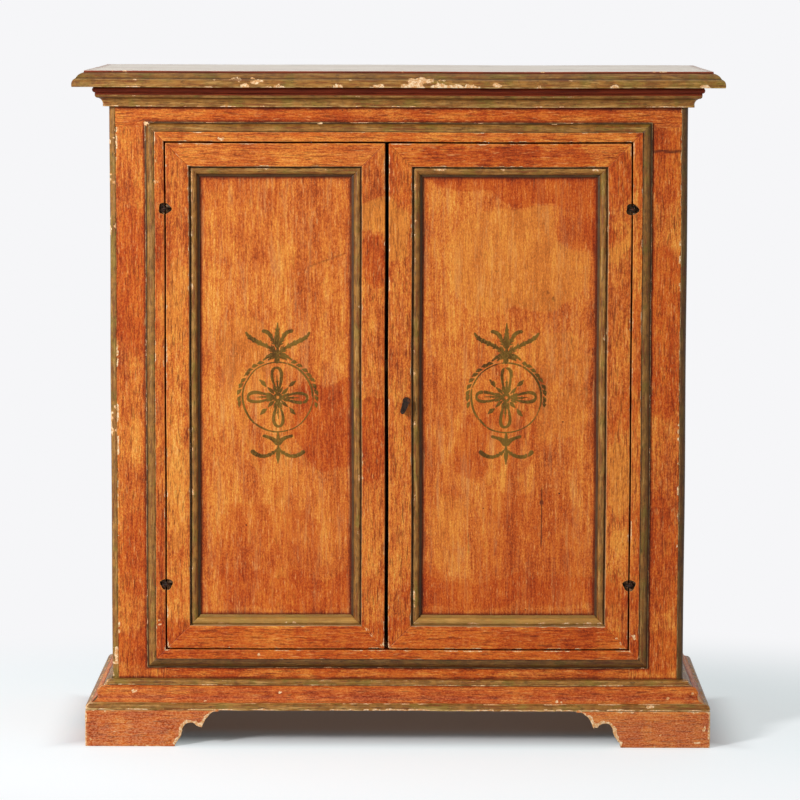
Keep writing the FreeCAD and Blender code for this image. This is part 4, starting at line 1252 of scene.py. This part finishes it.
def cracked(side, points):
    """How much points of a panel lie in cracks and scratches."""
    x, z = points[..., 0], points[..., 2]
    total = np.zeros(x.shape)
    if side == "right":
        middle, low, high = CRACK
        split = step(1.5, 0.2, np.abs(x - middle - 1.5 * sway(points, 30, 44)))
        total = 0.85 * split * step(low - 8, low, z) * step(high + 6, high, z)
        knot = np.hypot((x - middle) / 3.4, (z - high + 20) / 5.0)
        total = np.maximum(total, 0.8 * step(1.1, 0.6, knot))
    for x0, z0, x1, z1, reach, amount in MARKS[side]:
        _, away = along_line(points[..., [0, 2]], np.array((x0, z0)), np.array((x1, z1)))
        away = away + 1.2 * sway(points, 6, 46)
        total = np.maximum(total, amount * step(reach, 0.2 * reach, away))
    return total


def make_panel(side, inner):
    low, high = node_box(f"{side}_panel")
    middle = (inner[0] + inner[1]) / 2 + MOTIF_SHIFT[side]
    xs = lines(low[0], high[0], middle - MOTIF_HALF, middle + MOTIF_HALF)
    zs = lines(low[2], high[2], MOTIF_Z + MOTIF_LOW, MOTIF_Z + MOTIF_HIGH)
    x, z = np.meshgrid(xs, zs, indexing="ij")
    points = np.stack([x, np.full(x.shape, low[1]), z], -1)
    points[..., 1] += 0.35 * sway(points, 90, 41)
    strokes = ornament(np.random.default_rng(SEED + len(side)))
    shift_x, shift_z = 1.6 * sway(points, 16, 42), 1.6 * sway(points, 16, 43)
    motif = painted(x - middle + shift_x, z - MOTIF_Z + shift_z, strokes)
    points[..., 1] -= MOTIF_RISE * motif
    crack = cracked(side, points)
    inside = -beyond(x, z, inner) - DOOR_BEAD[-1][0]
    # Dirt and the bead's painted shadow along the panel's border.
    dirt_and_shadow = np.maximum(step(4.5, 0.5, inside), 0.5 * step(11.0, 0.0, inside))
    dirt_and_shadow = dirt_and_shadow + 0.25 * step(40, 0, inside) * noise(points, 30, 45)
    shape = Shape()
    offset = next_offset()
    first = shape.add(points + warp(points), 2, offset, grime=np.clip(dirt_and_shadow, 0, 1))
    shape.net(first, *x.shape, "orange")
    i, j = border(*x.shape)
    back = points[i, j]
    back[:, 1] = high[1]
    start = shape.add(back + warp(back), 2, offset)
    ring = range(start, shape.count)
    shape.stitch((first + i * x.shape[1] + j).tolist(), ring, ["bare"] * len(ring), True)
    shape.face(ring, "bare")
    for key, values in (("motif", motif), ("crack", crack)):
        shape.extra[key] = np.concatenate([values.reshape(-1), np.zeros(len(back))])
    dress(f"{side}_panel_painted", shape, f"{side}_door", [f"{side}_panel"])


# Bracket feet: the outline by distance from the outer edge and height, and rings of (depth, inset, wear)
BRACKET = [
    (0, 0, "orange"), (139, 0, "bare"), (153, 24, "bare", -0.06), (172, 32.5, "bare", 0.36),
    (183, 29, "bare", -0.08), (186, 36, "bare"), (209, 57, "bare", 0.1), (0, 57, "bare"),
]
BRACKET_THICKNESS = 24.0
BRACKET_RINGS = (
    (0.0, 1.4, 0.55), (0.4, 0.4, 1.0), (1.4, 0.0, 0.7), (6.0, 0.0, 0.0), (14.0, 0.0, 0.0),
    (BRACKET_THICKNESS - 0.9, 0.0, 0.3), (BRACKET_THICKNESS, 0.8, 0.5),
)
NET_PITCH = 3.0
LEVEL = np.array((1, 1, 0))


def closed(shape, rim, start, place, axis, offset, paint, torn):
    """Closes a ring of vertices with a fine net, so that the wear of the rim stays near the rim."""
    spans = (np.arange(low + 1, high, NET_PITCH) for low, high in zip(rim.min(0), rim.max(0)))
    across, up = np.meshgrid(*spans, indexing="ij")
    inner = np.stack([across.ravel(), up.ravel()], -1)
    inner = inner[[np.hypot(*(rim - q).T).min() > 1.5 for q in inner]]
    spots = [Vector(q) for q in np.concatenate([rim, inner])]
    made, _, triangles, sources = delaunay_2d_cdt(spots, [], [tuple(range(len(rim)))], 1, 0.0001)[:4]
    index, fresh = {}, []
    for i in sorted({i for triangle in triangles for i in triangle}):
        if sources[i] and min(sources[i]) < len(rim):
            index[i] = start + min(sources[i])
        else:
            fresh.append(i)
    flat = np.array([tuple(made[i]) for i in fresh])
    points = place(flat)
    away = np.hypot(*np.moveaxis(rim[None] - flat[:, None], -1, 0))
    chip = torn[away.argmin(1)] * np.clip(1.5 - away.min(1) / 3.5 + 1.6 * sway(points, 6, 57), 0, 1)
    chip = np.maximum(chip, scarred(points))
    first = shape.add(points + warp(points) * LEVEL, axis, offset, 0.0, chip)
    index.update({i: first + k for k, i in enumerate(fresh)})
    for triangle in triangles:
        shape.flat.append(len(shape.faces))
        shape.face((index[i] for i in triangle), paint)


def make_bracket(node, place, mitred, ragged):
    """place takes distance from the outer edge, depth and height."""
    outline, _, _, paint, inward = section(BRACKET, 2.6, 3.0)
    u, z = outline.T
    scroll = step(132, 140, u) * step(56.9, 56.0, z) * step(0.4, 2.0, z)
    raw = np.stack([u, z, np.full(u.shape, 7.0 * len(node))], -1)
    bite = scroll * ragged * (1.7 * noise(raw, 8, 51) + 1.3 * noise(raw, 3.5, 52))
    shape = Shape()
    offset = next_offset()

    def rim(depth, inset):
        flat = outline + inward * (inset + bite)[:, None]
        if mitred:
            flat[:, 0] = np.maximum(flat[:, 0], depth)
        return flat

    def laid(flat, depth):
        return place(flat[:, 0], np.full(len(flat), depth), flat[:, 1])

    rings = []
    for depth, inset, wear in BRACKET_RINGS:
        points = laid(rim(depth, inset), depth)
        loss = 1.5 * patches(points, *BRACKET_CHIPS) + 0.7 * noise(points, 10, 55) + 0.6 * step(8, 0, u)
        torn = scroll * step(5.0, 1.5, depth) * (0.45 + 0.75 * noise(points, 8, 56))
        chip = np.maximum(np.clip(np.maximum(wear * loss, torn), 0, 1), scarred(points))
        axis = int(np.argmax(np.ptp(points, axis=0)))
        start = shape.add(points + warp(points) * LEVEL, axis, offset, wear, chip)
        rings.append(range(start, shape.count))
    outer = [colour == "orange" or along < 1 for colour, along in zip(paint[1:] + paint[:1], np.roll(u, -1))]
    for i, (low, high) in enumerate(zip(rings[:-1], rings[1:])):
        shape.stitch(low, high, ["orange" if i < 2 or shown else "bare" for shown in outer], True)
    torn = 0.8 * scroll * min(ragged, 1.2)
    for k, colour in ((0, "orange"), (-1, "bare")):
        depth, inset, _ = BRACKET_RINGS[k]
        face = rim(depth, inset)
        closed(shape, face, rings[k][0], lambda flat: laid(flat, depth), axis, offset, colour, torn)
    dress(f"{node}_scrolled", shape, "case", [node])


def make_feet():
    outer, front = BASE_HIGH[0], BASE_LOW[1]
    for (side, sign), ragged in zip(SIDES, (1.0, 1.5)):
        def place(u, t, z):
            return np.stack([sign * (outer - u), front + t, z], -1)

        make_bracket(f"bracket_front_{side}", place, True, ragged)
    for side, sign in SIDES:
        for end, start, way in (("front", front, 1), ("back", BACK_Y, -1)):
            def place(u, t, z):
                return np.stack([sign * (outer - t), start + way * u, z], -1)

            make_bracket(f"bracket_side_{side}_{end}", place, end == "front", 0.8)


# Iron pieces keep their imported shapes, softened
IRON_NODES = (
    "case_eyes_left", "case_eyes_right", "left_door_eyes", "right_door_eyes",
    "bolt", "bolt_staples", "latch_turn", "latch_tongue",
)


def make_irons():
    for node in IRON_NODES:
        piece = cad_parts[node]
        piece.data.materials.clear()
        piece.data.materials.append(IRON)
        weld = piece.modifiers.new("weld", "WELD")
        weld.merge_threshold = 0.00001
        soften = piece.modifiers.new("soften", "BEVEL")
        soften.width = 0.0012 if node == "latch_turn" else 0.0004
        soften.segments = 4
        soften.limit_method = "ANGLE"
        soften.angle_limit = math.radians(32)


# Stage: pale floor, soft studio light and the camera
CAMERA = (0.0362, -6.13, 1.1915)
CAMERA_TILT, CAMERA_ROLL, CAMERA_PAN = math.radians(90 - 6.242), math.radians(0.115), math.radians(0.320)
FOCAL_PIXELS = 3856.0
IMAGE_PIXELS = 800
FLOOR_REACH = 300.0
BACKDROP = linear(246, 246, 248)
WORLD_LIGHT = 0.30


def lamp(name, place, target, size, power):
    light = bpy.data.lights.new(name, "AREA")
    light.shape = "DISK"
    light.size = size
    light.energy = power
    lit = placed(name, light)
    lit.location = place
    lit.rotation_euler = (Vector(target) - Vector(place)).to_track_quat("-Z", "Y").to_euler()


def make_floor():
    mesh = bpy.data.meshes.new("floor")
    corners = [(FLOOR_REACH * x, FLOOR_REACH * y, 0) for x, y in ((-1, -1), (1, -1), (1, 1), (-1, 1))]
    mesh.from_pydata(corners, [], [(0, 1, 2, 3)])
    floor = placed("floor", mesh)
    p = Paint("floor_pale")
    p.colour = linear(204, 205, 208)
    p.finish(0.8)
    seen, place = p.seen(), p.place()
    # Painted shade: the floor's glow is dim and warm under the part,
    # bright round it, and lost in the backdrop far away
    apart = p.node("ShaderNodeSeparateXYZ", "X", {"Vector": place}).node.outputs
    beside = p.minus(p.math("ABSOLUTE", apart["X"]), 0.45)
    before = p.minus(p.math("ABSOLUTE", apart["Y"]), 0.12)
    clear = p.math("MAXIMUM", beside, before)
    glow_and_warm_shade = p.mix(p.soft(clear, -0.06, 0.01), linear(255, 206, 176), linear(238, 250, 251))
    p.put(p.shader.inputs["Emission Color"], glow_and_warm_shade)
    p.put(p.shader.inputs["Emission Strength"], p.times(p.soft(clear, 0.0, 0.12, 0.05, 0.52), seen))
    far = p.node("ShaderNodeVectorMath", "Value", {0: p.scaled(place, (1.0, 1.6, 0.0))}, operation="LENGTH")
    far = p.times(p.soft(far, 0.70, 1.5), seen)
    bright = p.node("ShaderNodeEmission", 0, {"Color": BACKDROP})
    shown = p.node("ShaderNodeMixShader", 0, {0: far, 1: p.shader.outputs[0], 2: bright})
    p.put(p.tree.nodes["Material Output"].inputs["Surface"], shown)
    mesh.materials.append(p.material)


def make_world():
    world = bpy.data.worlds.new("studio")
    bpy.context.scene.world = world
    world.use_nodes = True
    w = Nodes(world.node_tree)
    background = w.tree.nodes["Background"]
    background.inputs["Color"].default_value = BACKDROP
    w.put(background.inputs["Strength"], w.soft(w.seen(), 0.0, 1.0, WORLD_LIGHT, 1.0))


def make_camera():
    data = bpy.data.cameras.new("camera")
    data.sensor_width = 36
    data.lens = FOCAL_PIXELS / IMAGE_PIXELS * data.sensor_width
    data.clip_end = 1000
    camera = placed("camera", data)
    turn = Matrix.Rotation(CAMERA_PAN, 4, "Z") @ Matrix.Rotation(CAMERA_TILT, 4, "X")
    camera.matrix_world = Matrix.Translation(CAMERA) @ turn @ Matrix.Rotation(CAMERA_ROLL, 4, "Z")
    bpy.context.scene.camera = camera


def make_stage():
    bpy.context.scene.view_settings.view_transform = "Standard"
    make_floor()
    make_world()
    lamp("key", (-2.9, -3.5, 2.35), (0, 0, 0.55), 0.9, 198)
    lamp("overhead", (0.0, -0.3, 3.1), (0, -0.3, 0), 1.6, 4.5)
    lamp("fill", (3.0, -4.0, 1.6), (0, 0, 0.5), 2.5, 8)
    make_camera()


make_stage()
make_top()
make_round_case("cornice", CORNICE, CORNICE_LOOK)
make_round_case("base_moulding", BASE, BASE_LOOK)
make_case()
make_surround()
for door_side, door_sign in SIDES:
    make_door(door_side, door_sign)
make_feet()
make_irons()
